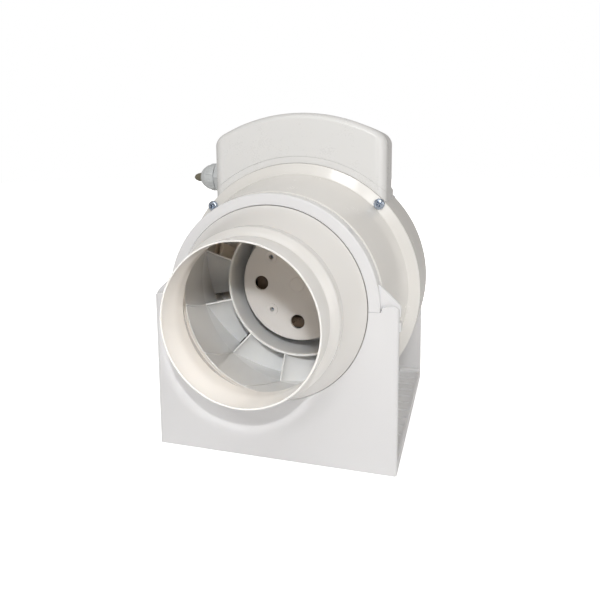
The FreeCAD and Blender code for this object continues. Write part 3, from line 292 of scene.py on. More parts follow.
class Nodes:
    def __init__(self, name):
        self.mat = bpy.data.materials.new(name)
        self.mat.use_nodes = True
        self.t = self.mat.node_tree
        self.t.nodes.clear()
        self.out = self.add("ShaderNodeOutputMaterial")
        self.p = self.add("ShaderNodeBsdfPrincipled")
        self.link(self.p.outputs[0], self.out.inputs[0])
        self.co = self.add("ShaderNodeTexCoord")

    def add(self, kind, **kw):
        n = self.t.nodes.new(kind)
        for k, v in kw.items():
            setattr(n, k, v)
        return n

    def link(self, a, b):
        self.t.links.new(a, b)

    def set(self, name, v):
        self.p.inputs[name].default_value = v

    def noise(self, scale, detail=3.0, rough=0.5, stretch=None, distortion=0.0):
        n = self.add("ShaderNodeTexNoise")
        n.inputs["Scale"].default_value = scale
        n.inputs["Detail"].default_value = detail
        n.inputs["Roughness"].default_value = rough
        n.inputs["Distortion"].default_value = distortion
        if stretch:
            mp = self.add("ShaderNodeMapping")
            mp.inputs["Scale"].default_value = stretch
            self.link(self.co.outputs["Object"], mp.inputs["Vector"])
            self.link(mp.outputs[0], n.inputs["Vector"])
        else:
            self.link(self.co.outputs["Object"], n.inputs["Vector"])
        return n.outputs["Fac"]

    def remap(self, src, a, b, lo=0.3, hi=0.7):
        m = self.add("ShaderNodeMapRange")
        m.inputs["From Min"].default_value = lo
        m.inputs["From Max"].default_value = hi
        m.inputs["To Min"].default_value = a
        m.inputs["To Max"].default_value = b
        self.link(src, m.inputs["Value"])
        return m.outputs[0]

    def math(self, op, a, b):
        m = self.add("ShaderNodeMath", operation=op)
        for i, v in enumerate((a, b)):
            if isinstance(v, (int, float)):
                m.inputs[i].default_value = v
            else:
                self.link(v, m.inputs[i])
        return m.outputs[0]

    def mix(self, fac, a, b):
        m = self.add("ShaderNodeMix", data_type="RGBA")
        if isinstance(fac, (int, float)):
            m.inputs["Factor"].default_value = fac
        else:
            self.link(fac, m.inputs["Factor"])
        for k, v in (("A", a), ("B", b)):
            s = [i for i in m.inputs if i.name == k and i.type == "RGBA"][0]
            if isinstance(v, (list, tuple)):
                s.default_value = (*v, 1.0)
            else:
                self.link(v, s)
        return [o for o in m.outputs if o.type == "RGBA"][0]

    def edges(self, mm, amount):
        """Mask of the edges: where a softened normal leaves the true one."""
        g = self.add("ShaderNodeNewGeometry")
        bv = self.add("ShaderNodeBevel", samples=4)
        bv.inputs["Radius"].default_value = mm * MM
        d = self.add("ShaderNodeVectorMath", operation="DOT_PRODUCT")
        self.link(g.outputs["Normal"], d.inputs[0])
        self.link(bv.outputs[0], d.inputs[1])
        return self.remap(d.outputs["Value"], amount, 0.0, 0.90, 0.995)

    def bump(self, parts):
        """parts: (height output, strength, distance in mm), chained"""
        last = None
        for h, strength, dist in parts:
            b = self.add("ShaderNodeBump")
            b.inputs["Strength"].default_value = strength
            b.inputs["Distance"].default_value = dist * MM
            self.link(h, b.inputs["Height"])
            if last is not None:
                self.link(last, b.inputs["Normal"])
            last = b.outputs[0]
        self.link(last, self.p.inputs["Normal"])


def plastic(name, base, rough=0.32, warm=0.35, grain=0.05, sss=0.06, peel=0.05, edge=0.25):
    """Injection-moulded plastic: slow tone drift, fine texture, soft gloss, and edges painted paler as a painted
    highlight that also stands for light wear.
    """
    n = Nodes(name)
    b = srgb(base)
    drift = n.noise(9.0, 3.0, 0.55)
    flow = n.noise(26.0, 3.0, 0.5, stretch=(1.0, 0.35, 1.0), distortion=0.4)
    speck = n.noise(1400.0, 2.0, 0.6)
    dark = [v * 0.99 for v in b]
    warmc = [b[0] * 1.0, b[1] * 0.988, b[2] * 0.96]
    c = n.mix(n.remap(drift, 0.0, 1.0), b, dark)
    c = n.mix(n.remap(flow, 0.0, warm * 0.5, 0.35, 0.75), c, warmc)
    c = n.mix(n.remap(speck, 0.0, 0.025, 0.66, 0.82), c, [v * 0.78 for v in b])
    # edges painted paler: a painted edge highlight, partly standing for light wear
    c = n.mix(n.edges(0.4, edge * 0.5), c, [min(1.0, v * 1.05 + 0.01) for v in b])
    n.link(c, n.p.inputs["Base Color"])
    smear = n.noise(40.0, 4.0, 0.55)
    micro = n.noise(900.0, 2.0, 0.5)
    r = n.math("ADD", n.remap(smear, rough - 0.015, rough + 0.02), n.remap(micro, -0.01, 0.01))
    n.link(r, n.p.inputs["Roughness"])
    n.set("IOR", 1.52)
    n.set("Subsurface Weight", sss)
    n.set("Subsurface Radius", (1.0, 0.9, 0.75))
    n.set("Subsurface Scale", 0.0025)
    n.set("Coat Weight", 0.3)
    n.set("Coat Roughness", 0.08)
    n.bump([(n.noise(120.0, 2.0, 0.35), peel, 0.10), (speck, grain * 0.5, 0.04)])
    return n.mat


def metal(name, base, rough=0.28, brush=None, bumpy=0.08, spot=0.2, metallic=1.0, scale=400.0):
    """Plated or turned metal with brushing, dulled patches and a slight tint drift."""
    n = Nodes(name)
    b = srgb(base)
    dull = n.noise(120.0, 4.0, 0.6)
    c = n.mix(n.remap(dull, 0.0, spot), b, [v * 0.55 for v in b])
    c = n.mix(n.remap(n.noise(60.0, 2.0), 0.0, 0.25), c, [b[0] * 0.9, b[1] * 0.97, min(1, b[2] * 1.12)])
    n.link(c, n.p.inputs["Base Color"])
    n.set("Metallic", metallic)
    br = n.noise(scale, 3.0, 0.6, stretch=brush or (1, 1, 1))
    n.link(n.math("ADD", n.remap(br, rough - 0.08, rough + 0.10), n.remap(dull, -0.03, 0.08)), n.p.inputs["Roughness"])
    n.bump([(br, bumpy, 0.05)])
    return n.mat


def rubber(name, base, rough=0.6):
    n = Nodes(name)
    b = srgb(base)
    c = n.mix(n.remap(n.noise(80.0, 4.0), 0.0, 0.6), b, [min(1, v * 1.25 + 0.01) for v in b])
    n.link(c, n.p.inputs["Base Color"])
    n.link(n.remap(n.noise(300.0, 3.0), rough - 0.1, rough + 0.12), n.p.inputs["Roughness"])
    n.set("Sheen Weight", 0.15)
    n.bump([(n.noise(900.0, 3.0, 0.6), 0.12, 0.08)])
    return n.mat


def winding(name):
    n = Nodes(name)
    w = n.add("ShaderNodeTexWave", wave_type="RINGS", rings_direction="Y", wave_profile="SIN")
    w.inputs["Scale"].default_value = 420.0
    w.inputs["Distortion"].default_value = 1.2
    w.inputs["Detail"].default_value = 2.0
    mp = n.add("ShaderNodeMapping")
    mp.inputs["Location"].default_value = (0, 0, -AX * MM)
    n.link(n.co.outputs["Object"], mp.inputs["Vector"])
    n.link(mp.outputs[0], w.inputs["Vector"])
    c = n.mix(w.outputs["Fac"], srgb([0.24, 0.19, 0.15]), srgb([0.58, 0.50, 0.42]))
    n.link(c, n.p.inputs["Base Color"])
    n.set("Metallic", 0.45)
    n.link(n.remap(n.noise(300.0), 0.25, 0.45), n.p.inputs["Roughness"])
    n.set("Coat Weight", 0.5)
    n.bump([(w.outputs["Fac"], 0.6, 0.4)])
    return n.mat


def laminated(name):
    n = Nodes(name)
    w = n.add("ShaderNodeTexWave", wave_type="BANDS", bands_direction="Y", wave_profile="SAW")
    w.inputs["Scale"].default_value = 310.0
    w.inputs["Distortion"].default_value = 0.1
    n.link(n.co.outputs["Object"], w.inputs["Vector"])
    c = n.mix(w.outputs["Fac"], srgb([0.20, 0.20, 0.21]), srgb([0.48, 0.47, 0.46]))
    n.link(c, n.p.inputs["Base Color"])
    n.set("Metallic", 0.9)
    n.link(n.remap(n.noise(200.0), 0.35, 0.6), n.p.inputs["Roughness"])
    n.bump([(w.outputs["Fac"], 0.5, 0.2)])
    return n.mat


M = {
    "cradle_plastic": plastic("mould_cradle_white", (0.93, 0.93, 0.935), 0.30, warm=0.06, sss=0.05),
    "shell_plastic": plastic("mould_shell_white", (0.93, 0.922, 0.905), 0.25, warm=0.15, sss=0.05),
    "spigot_plastic": plastic("mould_spigot_white", (0.935, 0.928, 0.915), 0.20, warm=0.15, sss=0.08),
    "box_plastic": plastic("mould_box_white", (0.925, 0.925, 0.92), 0.28, warm=0.10, sss=0.05),
    "vane_plastic": plastic("mould_vane_white", (0.87, 0.875, 0.875), 0.18, warm=0.08, sss=0.10),
    "motor_cover_plastic": plastic("mould_motor_cover", (0.79, 0.785, 0.78), 0.34, warm=0.05, sss=0.03, grain=0.08),
    "impeller_plastic": plastic("mould_impeller_grey", (0.33, 0.34, 0.36), 0.38, warm=0.05, sss=0.0, grain=0.15),
    "gland_nylon": plastic("gland_light_nylon", (0.82, 0.835, 0.84), 0.42, warm=0.05, sss=0.05, grain=0.1),
    "block_plastic": plastic("block_natural_nylon", (0.88, 0.86, 0.80), 0.45, sss=0.12),
    "capacitor_plastic": plastic("capacitor_case", (0.86, 0.86, 0.84), 0.35, sss=0.0),
    "clip_plastic": plastic("clip_dark_nylon", (0.20, 0.20, 0.21), 0.45, sss=0.0),
    "lead_pvc": plastic("lead_grey_pvc", (0.72, 0.72, 0.71), 0.42, sss=0.03),
    "seal_rubber": rubber("seal_black_rubber", (0.09, 0.09, 0.09)),
    "plug_rubber": rubber("plug_grey_rubber", (0.44, 0.42, 0.35)),
    "black_rubber": rubber("grommet_black_rubber", (0.07, 0.07, 0.07)),
    "motor_metal": metal("motor_plated_steel", (0.72, 0.73, 0.74), 0.32, brush=(1, 6, 1), scale=180),
    "lamination_steel": laminated("lamination_stack"),
    "rotor_aluminium": metal("rotor_cast_aluminium", (0.74, 0.74, 0.75), 0.45, bumpy=0.25, scale=250),
    "winding_copper": winding("varnished_windings"),
    "shaft_steel": metal("shaft_ground_steel", (0.70, 0.70, 0.71), 0.18, brush=(1, 14, 1), scale=300),
    "bearing_steel": metal("bearing_polished_steel", (0.76, 0.76, 0.77), 0.14, brush=(1, 10, 1), scale=500, spot=0.1),
    "bush_brass": metal("bush_turned_brass", (0.80, 0.64, 0.33), 0.25, brush=(1, 16, 1), scale=250),
    "zinc_steel": metal("screw_bright_zinc", (0.74, 0.78, 0.83), 0.22, bumpy=0.12, spot=0.45, scale=700),
    "terminal_brass": metal("terminal_screw_brass", (0.80, 0.66, 0.38), 0.28, scale=700),
}

# ------------------------------------------------------------ duct spigots
OUT, INN = -1, 1


def spigot(side):
    k = lambda y: side * y
    return lathe("spigot", [
        (k(MOUTH), 47.8, 0.55), (k(MOUTH), 49.0, 0.55), (k(126.5), 49.0, 1.2), (k(124.3), 51.4, 1.6),
        (k(121.5), 54.0, 2.4), (k(113.5), 54.0, 0.45), (k(113.5), 52.8, 0.3), (k(92.4), 64.3, 1.5),
        (k(88.4), 64.3, 0.3), (k(88.4), 69.9, 0.3), (k(86.4), 69.9, 0.3), (k(86.4), 62.8, 0.5),
        (k(91.2), 62.3, 1.0), (k(114.2), 49.9, 0.5), (k(126.5), 48.2, 60.0)], step=2.5)


for side, nm in ((OUT, "outlet"), (INN, "inlet")):
    place(spigot(side), "fan_body", [nm + "_spigot"], M["spigot_plastic"]).name = nm + "_spigot_skin"


# -------------------------------------------------------------- end shells
def cyl_piece(name, x, z, r, y0, y1, fil=0.3, hole=0.0, seg=48):
    """Round post along Y at (x, z) off the axis, with an optional hole."""
    lo, hi = min(y0, y1), max(y0, y1)
    pts = [(lo, r, fil), (hi, r, fil), (hi, hole, 0.0), (lo, hole, 0.0)] if hole else None
    prof = round_poly(pts) if hole else round_poly([(lo, r, fil), (hi, r, fil), (hi, 0, 0), (lo, 0, 0)])
    if hole:
        verts, faces = [], []
        m = len(prof)
        for i in range(seg):
            a = 2 * math.pi * i / seg
            for y, rr in prof:
                verts.append((x + rr * math.cos(a), y, z + rr * math.sin(a)))
        for i in range(seg):
            i2 = (i + 1) % seg
            for j in range(m):
                j2 = (j + 1) % m
                faces.append((i * m + j, i * m + j2, i2 * m + j2, i2 * m + j))
        return obj_from(verts, faces, name)
    open_prof = [p for p in prof if p[1] > 1e-6]
    m = len(open_prof)
    verts, faces = [], []
    for i in range(seg):
        a = 2 * math.pi * i / seg
        for y, rr in open_prof:
            verts.append((x + rr * math.cos(a), y, z + rr * math.sin(a)))
    for i in range(seg):
        i2 = (i + 1) % seg
        for j in range(m - 1):
            faces.append((i * m + j, i * m + j + 1, i2 * m + j + 1, i2 * m + j))
    for j in (0, m - 1):
        faces.append(tuple(i * m + j for i in range(seg)))
    return obj_from(verts, faces, name)


C45 = math.cos(math.radians(45))
SCREW_RING = {OUT: 87.7, INN: 87.1}
CASE_ANGLES = (45.0, 137.5, 225.0, 317.5)


def corners(side):
    return [(SCREW_RING[side] * math.cos(math.radians(a)), AX + SCREW_RING[side] * math.sin(math.radians(a))) for a in CASE_ANGLES]



def shell(side):
    k = lambda y: side * y
    body = lathe("shell", [
        (k(85.4), 67.2, 0.3), (k(85.4), 69.9, 0.3), (k(83.2), 69.9, 0.3), (k(83.2), 68.6, 0.3),
        (k(80.2), 68.6, 0.3), (k(80.2), 72.8, 0.9), (k(32.1), 83.1, 1.2), (k(29.9), 90.9, 0.35),
        (k(29.2), 90.9, 0.2), (k(29.2), 81.4, 0.2), (k(79.6), 70.6, 0.4), (k(79.6), 67.2, 0.4)], step=10.0)
    bits = [body]
    for i, (x, z) in enumerate(corners(side)):
        bits.append(cyl_piece("pad%d" % i, x, z, 3.2, k(32.2), k(29.6), 0.35, hole=1.7))
    return union(bits, "shell")


for side, nm in ((OUT, "outlet"), (INN, "inlet")):
    place(shell(side), "fan_body", [nm + "_shell"], M["shell_plastic"]).name = nm + "_shell_skin"

# -------------------------------------------------------------------- drum
drum = lathe("drum", [(-29.2, 88.5, 0.3), (-29.2, 91.0, 0.5), (29.2, 91.0, 0.5), (29.2, 88.5, 0.3)])
ledge = lathe("ledge", [(-26.6, 81.7, 0.3), (-26.6, 88.9, 0), (-24.4, 88.9, 0), (-24.4, 81.7, 0.3)], seg=192)
ledge2 = lathe("ledge2", [(24.4, 84.6, 0.3), (24.4, 88.9, 0), (26.6, 88.9, 0), (26.6, 84.6, 0.3)], seg=192)
posts = [cyl_piece("post%d" % i, x, z, 3.1, -29.2, -0.3, 0.2, hole=1.55) for i, (x, z) in enumerate(corners(OUT))]
posts += [cyl_piece("post%d" % i, x, z, 3.1, 0.3, 29.2, 0.2, hole=1.55) for i, (x, z) in enumerate(corners(INN))]
drum = union([drum, ledge, ledge2] + posts, "drum_skin")
place(drum, "fan_body", ["drum_housing"], M["shell_plastic"])


# ------------------------------------------------------------------ straps
def strap(side):
    k = lambda y: side * y
    ring = lathe("ring", [
        (k(91.4), 64.7, 0.4), (k(91.4), 72.0, 1.0), (k(80.6), 72.0, 0.5), (k(80.6), 68.9, 0.3),
        (k(83.0), 68.9, 0.3), (k(83.0), 70.2, 0.2), (k(88.6), 70.2, 0.2), (k(88.6), 64.7, 0.3)],
        seg=180, a0=-0.5, a1=180.5)
    ears = []
    for s in (-1, 1):
        pts = [(s * 69.6, AX + 16.9, 0.5), (s * 81.6, AX + 6.0, 3.0), (s * 84.2, AX + 3.0, 1.6), (s * 84.2, AX - 3.4, 1.0),
               (s * 82.5, AX - 5.2, 0.8), (s * 82.5, AX - 15.5, 1.4),
               (s * 74.6, AX - 15.5, 1.4), (s * 74.6, AX - 0.3, 0.3), (s * 71.2, AX - 0.3, 0.3), (s * 70.9, AX + 8.0, 0.3)]
        ears.append(prism("ear%d" % s, round_poly(pts), [], *sorted((k(87.3), k(84.3))), axis="y", bevel=0.5))
    return union([ring] + ears, "strap")


for side, nm in ((OUT, "outlet"), (INN, "inlet")):
    place(strap(side), nm + "_strap", [nm + "_strap"], M["cradle_plastic"]).name = nm + "_strap_skin"

# ------------------------------------------------------------------ cradle
W, PY, TOP = 83.5, 91.6, CRADLE_TOP
END = 105.25
bits = []


def arc_pts(r, a0, a1, n=72):
    return [(r * math.cos(math.radians(a0 + (a1 - a0) * i / n)), AX + r * math.sin(math.radians(a0 + (a1 - a0) * i / n)))
            for i in range(n + 1)]


def cradle_plate(side, opening, y_in, y_out):
    a = math.degrees(math.asin((END - AX) / opening))
    left = round_poly([(-opening - 2.0, END, 0), (-72.4, END, 0.4), (-73.4, TOP - 1.2, 1.6), (-76.8, TOP, 3.2),
                       (-W, TOP, 3.4), (-W, 0.0, 0.8), (W, 0.0, 0.8), (W, TOP, 3.4), (76.8, TOP, 3.2),
                       (73.4, TOP - 1.2, 1.6), (72.4, END, 0.4), (opening + 2.0, END, 0)], closed=False)
    lower = arc_pts(opening, a, -180 - a, 120)     # right end, down round the bottom, to the left end
    return prism("plate", list(left) + lower, [], *sorted((side * y_in, side * y_out)), axis="y", bevel=0.45)


for side in (OUT, INN):
    k = lambda y: side * y
    bits.append(cradle_plate(side, 64.7, 87.6, 91.6))
    bits.append(lathe("saddle", [(k(88.7), 70.2, 0.0), (k(88.7), 73.2, 0.0), (k(80.6), 73.2, 0.5), (k(80.6), 68.9, 0.3),
                                 (k(83.0), 68.9, 0.3), (k(83.0), 70.2, 0.2)], seg=180, a0=180.8, a1=359.2))
    for s in (-1, 1):
        x0, x1 = sorted((s * 73.6, s * 84.4))
        y0, y1 = sorted((k(82.4), k(87.9)))
        hx0, hx1 = sorted((s * 74.4, s * 82.9))
        hy0, hy1 = sorted((k(83.9), k(87.62)))
        bits.append(prism("loop", rrect(x0, x1, y0, y1, 0.8), [rrect(hx0, hx1, hy0, hy1, 0.4)], AX - 13, AX - 7, axis="z", bevel=0.35))
    y0, y1 = sorted((k(83.6), k(88.0)))
    bits.append(prism("foot_ledge", rrect(-W + 0.3, W - 0.3, 2.0, 9.0, 0.8), [], y0, y1, axis="y", bevel=0.6))
holes = [circle(sx * 42.0, sy * 65.0, 2.75) for sx in (-1, 1) for sy in (-1, 1)]
bits.append(prism("floor", rrect(-W, W, -PY, PY, 2.2), holes, 0.0, 3.0, axis="z", bevel=0.4))
for sx in (-1, 1):
    for sy in (-1, 1):
        bits.append(prism("seat", circle(sx * 42.0, sy * 65.0, 7.0), [circle(sx * 42.0, sy * 65.0, 2.75)], 2.6, 4.2, axis="z", bevel=0.3))
    x0, x1 = sorted((sx * 64.0, sx * W))
    bits.append(prism("strip", rrect(x0, x1, -88.4, 88.4, 0.3), [], 2.6, 5.4, axis="z", bevel=0.4))
    x0, x1 = sorted((sx * 64.0, sx * 66.0))
    bits.append(prism("rail", rrect(x0, x1, -84.0, 84.0, 0.3), [], 2.8, 8.5, axis="z", bevel=0.4))
    x0, x1 = sorted((sx * 81.4, sx * (W - 0.02)))
    bits.append(prism("edge", rrect(x0, x1, -88.3, 88.3, 0.3), [], 2.9, 6.8, axis="z", bevel=0.4))
    for i in range(11):
        y = -70.0 + 14.0 * i
        x0, x1 = sorted((sx * 65.5, sx * 81.8))
        bits.append(prism("rung", rrect(x0, x1, y - 1.1, y + 1.1, 0.2), [], 3.0, 6.25, axis="z", bevel=0.4))
cradle = union(bits, "cradle_skin")
for side in (OUT, INN):
    y0, y1 = sorted((side * 84.0, side * 88.6))
    boolean(cradle, prism("groove", circle(0, AX, 70.16, 240), [], y0, y1, axis="y", bevel=0.001, segs=1))
for sx in (-1, 1):
    for sy in (-1, 1):
        arc = [(math.sin(math.radians(9 * i)), math.cos(math.radians(9 * i))) for i in range(11)]
        pts = [((W - 2.2 * (1 - a)) * sx, (PY - 2.2 * (1 - b)) * sy) for a, b in arc]
        pts += [((W + 1.5) * sx, (PY - 2.2) * sy), ((W + 1.5) * sx, (PY + 1.5) * sy), ((W - 2.2) * sx, (PY + 1.5) * sy)]
        boolean(cradle, prism("round", pts if sx * sy < 0 else pts[::-1], [], -5.0, 130.0, axis="z", bevel=0.001, segs=1))
bm = bmesh.new()
bm.from_mesh(cradle.data)
bmesh.ops.remove_doubles(bm, verts=bm.verts, dist=1e-5)
bmesh.ops.dissolve_degenerate(bm, edges=bm.edges, dist=5e-6)
bmesh.ops.triangulate(bm, faces=[f for f in bm.faces if len(f.verts) > 4], ngon_method="EAR_CLIP")
bmesh.ops.recalc_face_normals(bm, faces=bm.faces)
bm.to_mesh(cradle.data)
bm.free()
place(cradle, "fan_body", ["mounting_cradle"], M["cradle_plastic"])


# -------------------------------------------------------- guide vane unit
def blade_sheet(name, rows, thick, bevel=0.28):
    """rows: list of (y, hub radius, tip radius, angle in degrees); a curved sheet between hub and tip."""
    cols = 7
    verts, faces = [], []
    for y, r0, r1, ang in rows:
        a = math.radians(ang)
        for j in range(cols):
            r = r0 + (r1 - r0) * j / (cols - 1)
            verts.append((r * math.cos(a), y, AX + r * math.sin(a)))
    for i in range(len(rows) - 1):
        for j in range(cols - 1):
            q = i * cols + j
            faces.append((q, q + 1, q + cols + 1, q + cols))
    o = obj_from(verts, faces, name)
    s = o.modifiers.new("s", "SOLIDIFY")
    s.thickness = thick * MM
    s.offset = 0.0
    s.use_even_offset = True
    b = o.modifiers.new("b", "BEVEL")
    b.width = bevel * MM
    b.segments = 2
    b.limit_method = "ANGLE"
    b.angle_limit = math.radians(50)
    return apply_mods(o)


def vane_unit():
    parts = [
        lathe("cup", [(-29.8, 53.3, 0.3), (-29.8, 55.0, 0.7), (10.0, 55.0, 0.4), (10.0, 43.6, 0.3), (7.5, 43.6, 0.3),
                      (7.5, 53.0, 0.8), (-27.8, 53.0, 0.6)], seg=240),
        lathe("shroud", [(-84.8, 63.5, 0.25), (-84.8, 65.3, 0.5), (-29.1, 79.1, 0.3), (-29.1, 83.4, 0.3), (-26.7, 83.4, 0.3),
                         (-26.7, 79.6, 0.3), (-2.0, 83.0, 0.3), (-2.0, 81.2, 0.5), (-30.0, 77.2, 4.0)], seg=240)]
    for i in range(4):
        a = math.radians(45 + 90 * i)
        parts.append(cyl_piece("boss", 47.6 * math.cos(a), AX + 47.6 * math.sin(a), 3.6, -1.0, 8.0, 0.3, hole=1.55))
    for v in range(11):
        a0 = 194.5 + 360.0 * v / 11
        rows = []
        for i in range(21):
            t = i / 20
            rows.append((-30.0 + 28.0 * t, 54.2, 77.2 + 4.0 * t + 0.9, a0 + 30.0 * t ** 1.5))
        parts.append(blade_sheet("vane", rows, 1.3))
        # low rib carried forward along the shroud, lagging a little towards the mouth
        rows = []
        for i in range(13):
            y = -84.6 + 55.1 * i / 12
            rad = 63.5 + 13.7 * (y + 84.8) / 54.8
            lag = -9.2 + 0.2389 * (y + 84.6) if y < -62.0 else 0.117 * (y + 29.5)
            rows.append((y, rad - 0.6, rad + 0.8, a0 + lag))
        parts.append(blade_sheet("rib", rows, 0.8, 0.15))
    return union(parts, "vane_unit_skin")


place(vane_unit(), "fan_body", ["guide_vane_unit"], M["vane_plastic"], 45)


# ---------------------------------------------------------- inlet bellmouth
def spline(pts, n):
    """Smooth curve through points."""
    p = np.array(pts, float)
    t = np.concatenate([[0], np.cumsum(np.linalg.norm(np.diff(p, axis=0), axis=1))])
    out = []
    m = np.zeros_like(p)
    m[1:-1] = (p[2:] - p[:-2]) / (t[2:] - t[:-2])[:, None]
    m[0] = (p[1] - p[0]) / (t[1] - t[0])
    m[-1] = (p[-1] - p[-2]) / (t[-1] - t[-2])
    for u in np.linspace(0, t[-1], n):
        i = min(len(t) - 2, max(0, int(np.searchsorted(t, u) - 1)))
        h = t[i + 1] - t[i]
        s = (u - t[i]) / h
        out.append(tuple((2 * s ** 3 - 3 * s ** 2 + 1) * p[i] + (s ** 3 - 2 * s ** 2 + s) * h * m[i]
                         + (-2 * s ** 3 + 3 * s ** 2) * p[i + 1] + (s ** 3 - s ** 2) * h * m[i + 1]))
    return out


inner = [(82.0, 61.0), (79.0, 55.0), (75.0, 51.2), (70.0, 49.8), (65.0, 50.2), (60.0, 52.4), (50.0, 59.6), (38.0, 68.4),
         (26.0, 76.8), (14.0, 81.2)]
outer = [(14.0, 83.0), (27.0, 78.7), (39.0, 70.2), (51.0, 61.4), (60.8, 54.3), (65.8, 52.0), (70.2, 51.6), (74.0, 53.0),
         (77.2, 56.2), (80.0, 61.4)]
bell = lathe("inlet_bellmouth_skin", spline(inner, 48) + spline(outer, 44) + [(80.0, 66.9), (82.0, 66.9)], seg=240)
place(bell, "fan_body", ["inlet_bellmouth"], M["vane_plastic"])

# ------------------------------------------------------------ duct seals
for side, nm in ((OUT, "outlet"), (INN, "inlet")):
    o = lathe(nm + "_seal_ring", [(side * 86.4, 67.4, 0.2), (side * 86.4, 69.7, 0.2), (side * 85.4, 69.7, 0.2), (side * 85.4, 67.4, 0.2)], seg=180)
    place(o, "fan_body", [nm + "_spigot_seal"], M["seal_rubber"])

# ------------------------------------------------------------------ motor
VR, VENT = 28.8, 5.4
DIAG = [(VR * math.cos(math.radians(a)), AX + VR * math.sin(math.radians(a))) for a in (45, 135, 225, 315)]
AXIAL = [(VR * math.cos(math.radians(a)), AX + VR * math.sin(math.radians(a))) for a in (0, 90, 180, 270)]
face = prism("face", circle(0, AX, 43.1, 160), [circle(x, z, VENT, 48) for x, z in AXIAL] + [circle(x, z, 1.8, 32) for x, z in DIAG],
             -26.7, -24.2, axis="y", bevel=0.55, segs=4)
bits = [face,
        lathe("skirt", [(-26.0, 41.2, 0), (-26.0, 42.9, 0), (-14.2, 43.1, 0.4), (-14.2, 41.2, 0.3)], seg=200),
        lathe("seat", [(-24.6, 11.03, 0), (-24.6, 14.5, 0), (-16.5, 14.5, 0.4), (-16.5, 11.03, 0.3)], seg=96),
        cyl_piece("mid", 0, AX, 5.6, -27.2, -25.0, 0.35, seg=64)]
for x, z in DIAG:
    bits.append(cyl_piece("boss", x, z, 4.6, -27.1, -25.2, 0.35, hole=1.8, seg=64))
    bits.append(cyl_piece("well", x, z, 4.0, -24.6, -22.3, 0.1, hole=1.8, seg=64))
    bits.append(cyl_piece("nest", x, z, 4.0, -22.6, -19.6, 0.1, hole=1.05, seg=64))
place(union(bits, "motor_end_cover_skin"), "fan_body", ["motor_end_cover"], M["motor_cover_plastic"])

case = lathe("case", [(-14.0, 41.1, 0.3), (-14.0, 43.1, 0.4), (10.2, 43.1, 0.5), (10.2, 51.5, 0.4), (12.3, 51.5, 0.4),
                      (12.3, 43.1, 0.4), (14.0, 43.1, 0.9), (14.0, 7.0, 0.4), (11.55, 7.0, 0.1), (11.55, 11.03, 0.1),
                      (4.6, 11.03, 0.3), (4.6, 14.5, 0.5), (11.55, 14.5, 0.6), (11.55, 41.1, 0.6)], seg=200)
for a in (45, 135, 225, 315):
    t = cyl_piece("t", 47.6 * math.cos(math.radians(a)), AX + 47.6 * math.sin(math.radians(a)), 1.7, 9.0, 13.5, 0.0, seg=32)
    boolean(case, t)
case.name = "motor_case_skin"
place(case, "fan_body", ["motor_case"], M["motor_metal"])

# --------------------------------------------------------------- impeller
def impeller():
    hub = lathe("hub", spline([(12.5, 56.5), (22.0, 54.5), (34.0, 48.0), (46.0, 38.0), (56.0, 25.5), (60.5, 17.5), (62.0, 13.0)], 40)
                + [(62.0, 11.0), (54.0, 11.0), (54.0, 6.5), (26.0, 6.5), (26.0, 9.5), (51.0, 9.5)]
                + spline([(52.0, 27.0), (44.5, 36.0), (32.5, 46.0), (21.0, 52.4), (12.5, 54.5)], 24), seg=168)
    keys = [(14.5, 55.0, 79.0, 0.0), (26.0, 51.0, 74.4, -20.0), (38.0, 43.3, 66.0, -37.0), (50.0, 32.0, 57.0, -50.0), (59.5, 17.5, 50.2, -57.0)]
    k = np.array(keys)
    rows = []
    for y in np.linspace(14.5, 59.5, 22):
        rows.append([float(y)] + [float(np.polyval(np.polyfit(k[:, 0], k[:, c], 4), y)) for c in (1, 2, 3)])
    bits = [hub]
    for b in range(7):
        bits.append(blade_sheet("blade", [(y, h - 0.9, t, a + 360.0 * b / 7) for y, h, t, a in rows], 1.7, 0.4))
    return union(bits, "impeller_skin")


place(impeller(), "rotor", ["impeller"], M["impeller_plastic"], 45)


def hexagon(r, n=6, turn=0.0):
    return [(r * math.cos(math.radians(60 * i + turn)), r * math.sin(math.radians(60 * i + turn))) for i in range(n)]


def hex_nut(name, r, hole, y0, y1, cham=0.7):
    """Hexagon nut along Y on the fan axis with rounded-off corners and a chamfered bore."""
    o = prism(name, round_poly([(x, AX + z, 0.25) for x, z in hexagon(r)]), [], y0, y1, axis="y", bevel=0.12, segs=1)
    flat = r * math.cos(math.radians(30))
    keep = lathe("keep", [(y0, hole + 0.4, 0), (y0, flat - 0.1, 0), (y0 + cham, r + 0.05, 0), (y1 - cham, r + 0.05, 0), (y1, flat - 0.1, 0),
                          (y1, hole + 0.4, 0), (y1 - 0.4, hole, 0), (y0 + 0.4, hole, 0)], seg=96)
    return boolean(o, keep, "INTERSECT")


nut = hex_nut("impeller_nut_skin", 7.4, 4.02, 54.8, 60.0)
nut.name = "impeller_nut_skin"
place(nut, "rotor", ["impeller_nut"], M["zinc_steel"], 25)
washer = lathe("impeller_washer_skin", [(54.0, 4.0, 0.1), (54.0, 8.5, 0.25), (54.8, 8.5, 0.3), (54.8, 4.0, 0.1)], seg=96)
place(washer, "rotor", ["impeller_washer"], M["zinc_steel"])
sh = cyl_piece("motor_shaft_skin", 0, AX, 4.0, -23.4, 61.5, 0.5, seg=72)
place(sh, "rotor", ["motor_shaft"], M["shaft_steel"])


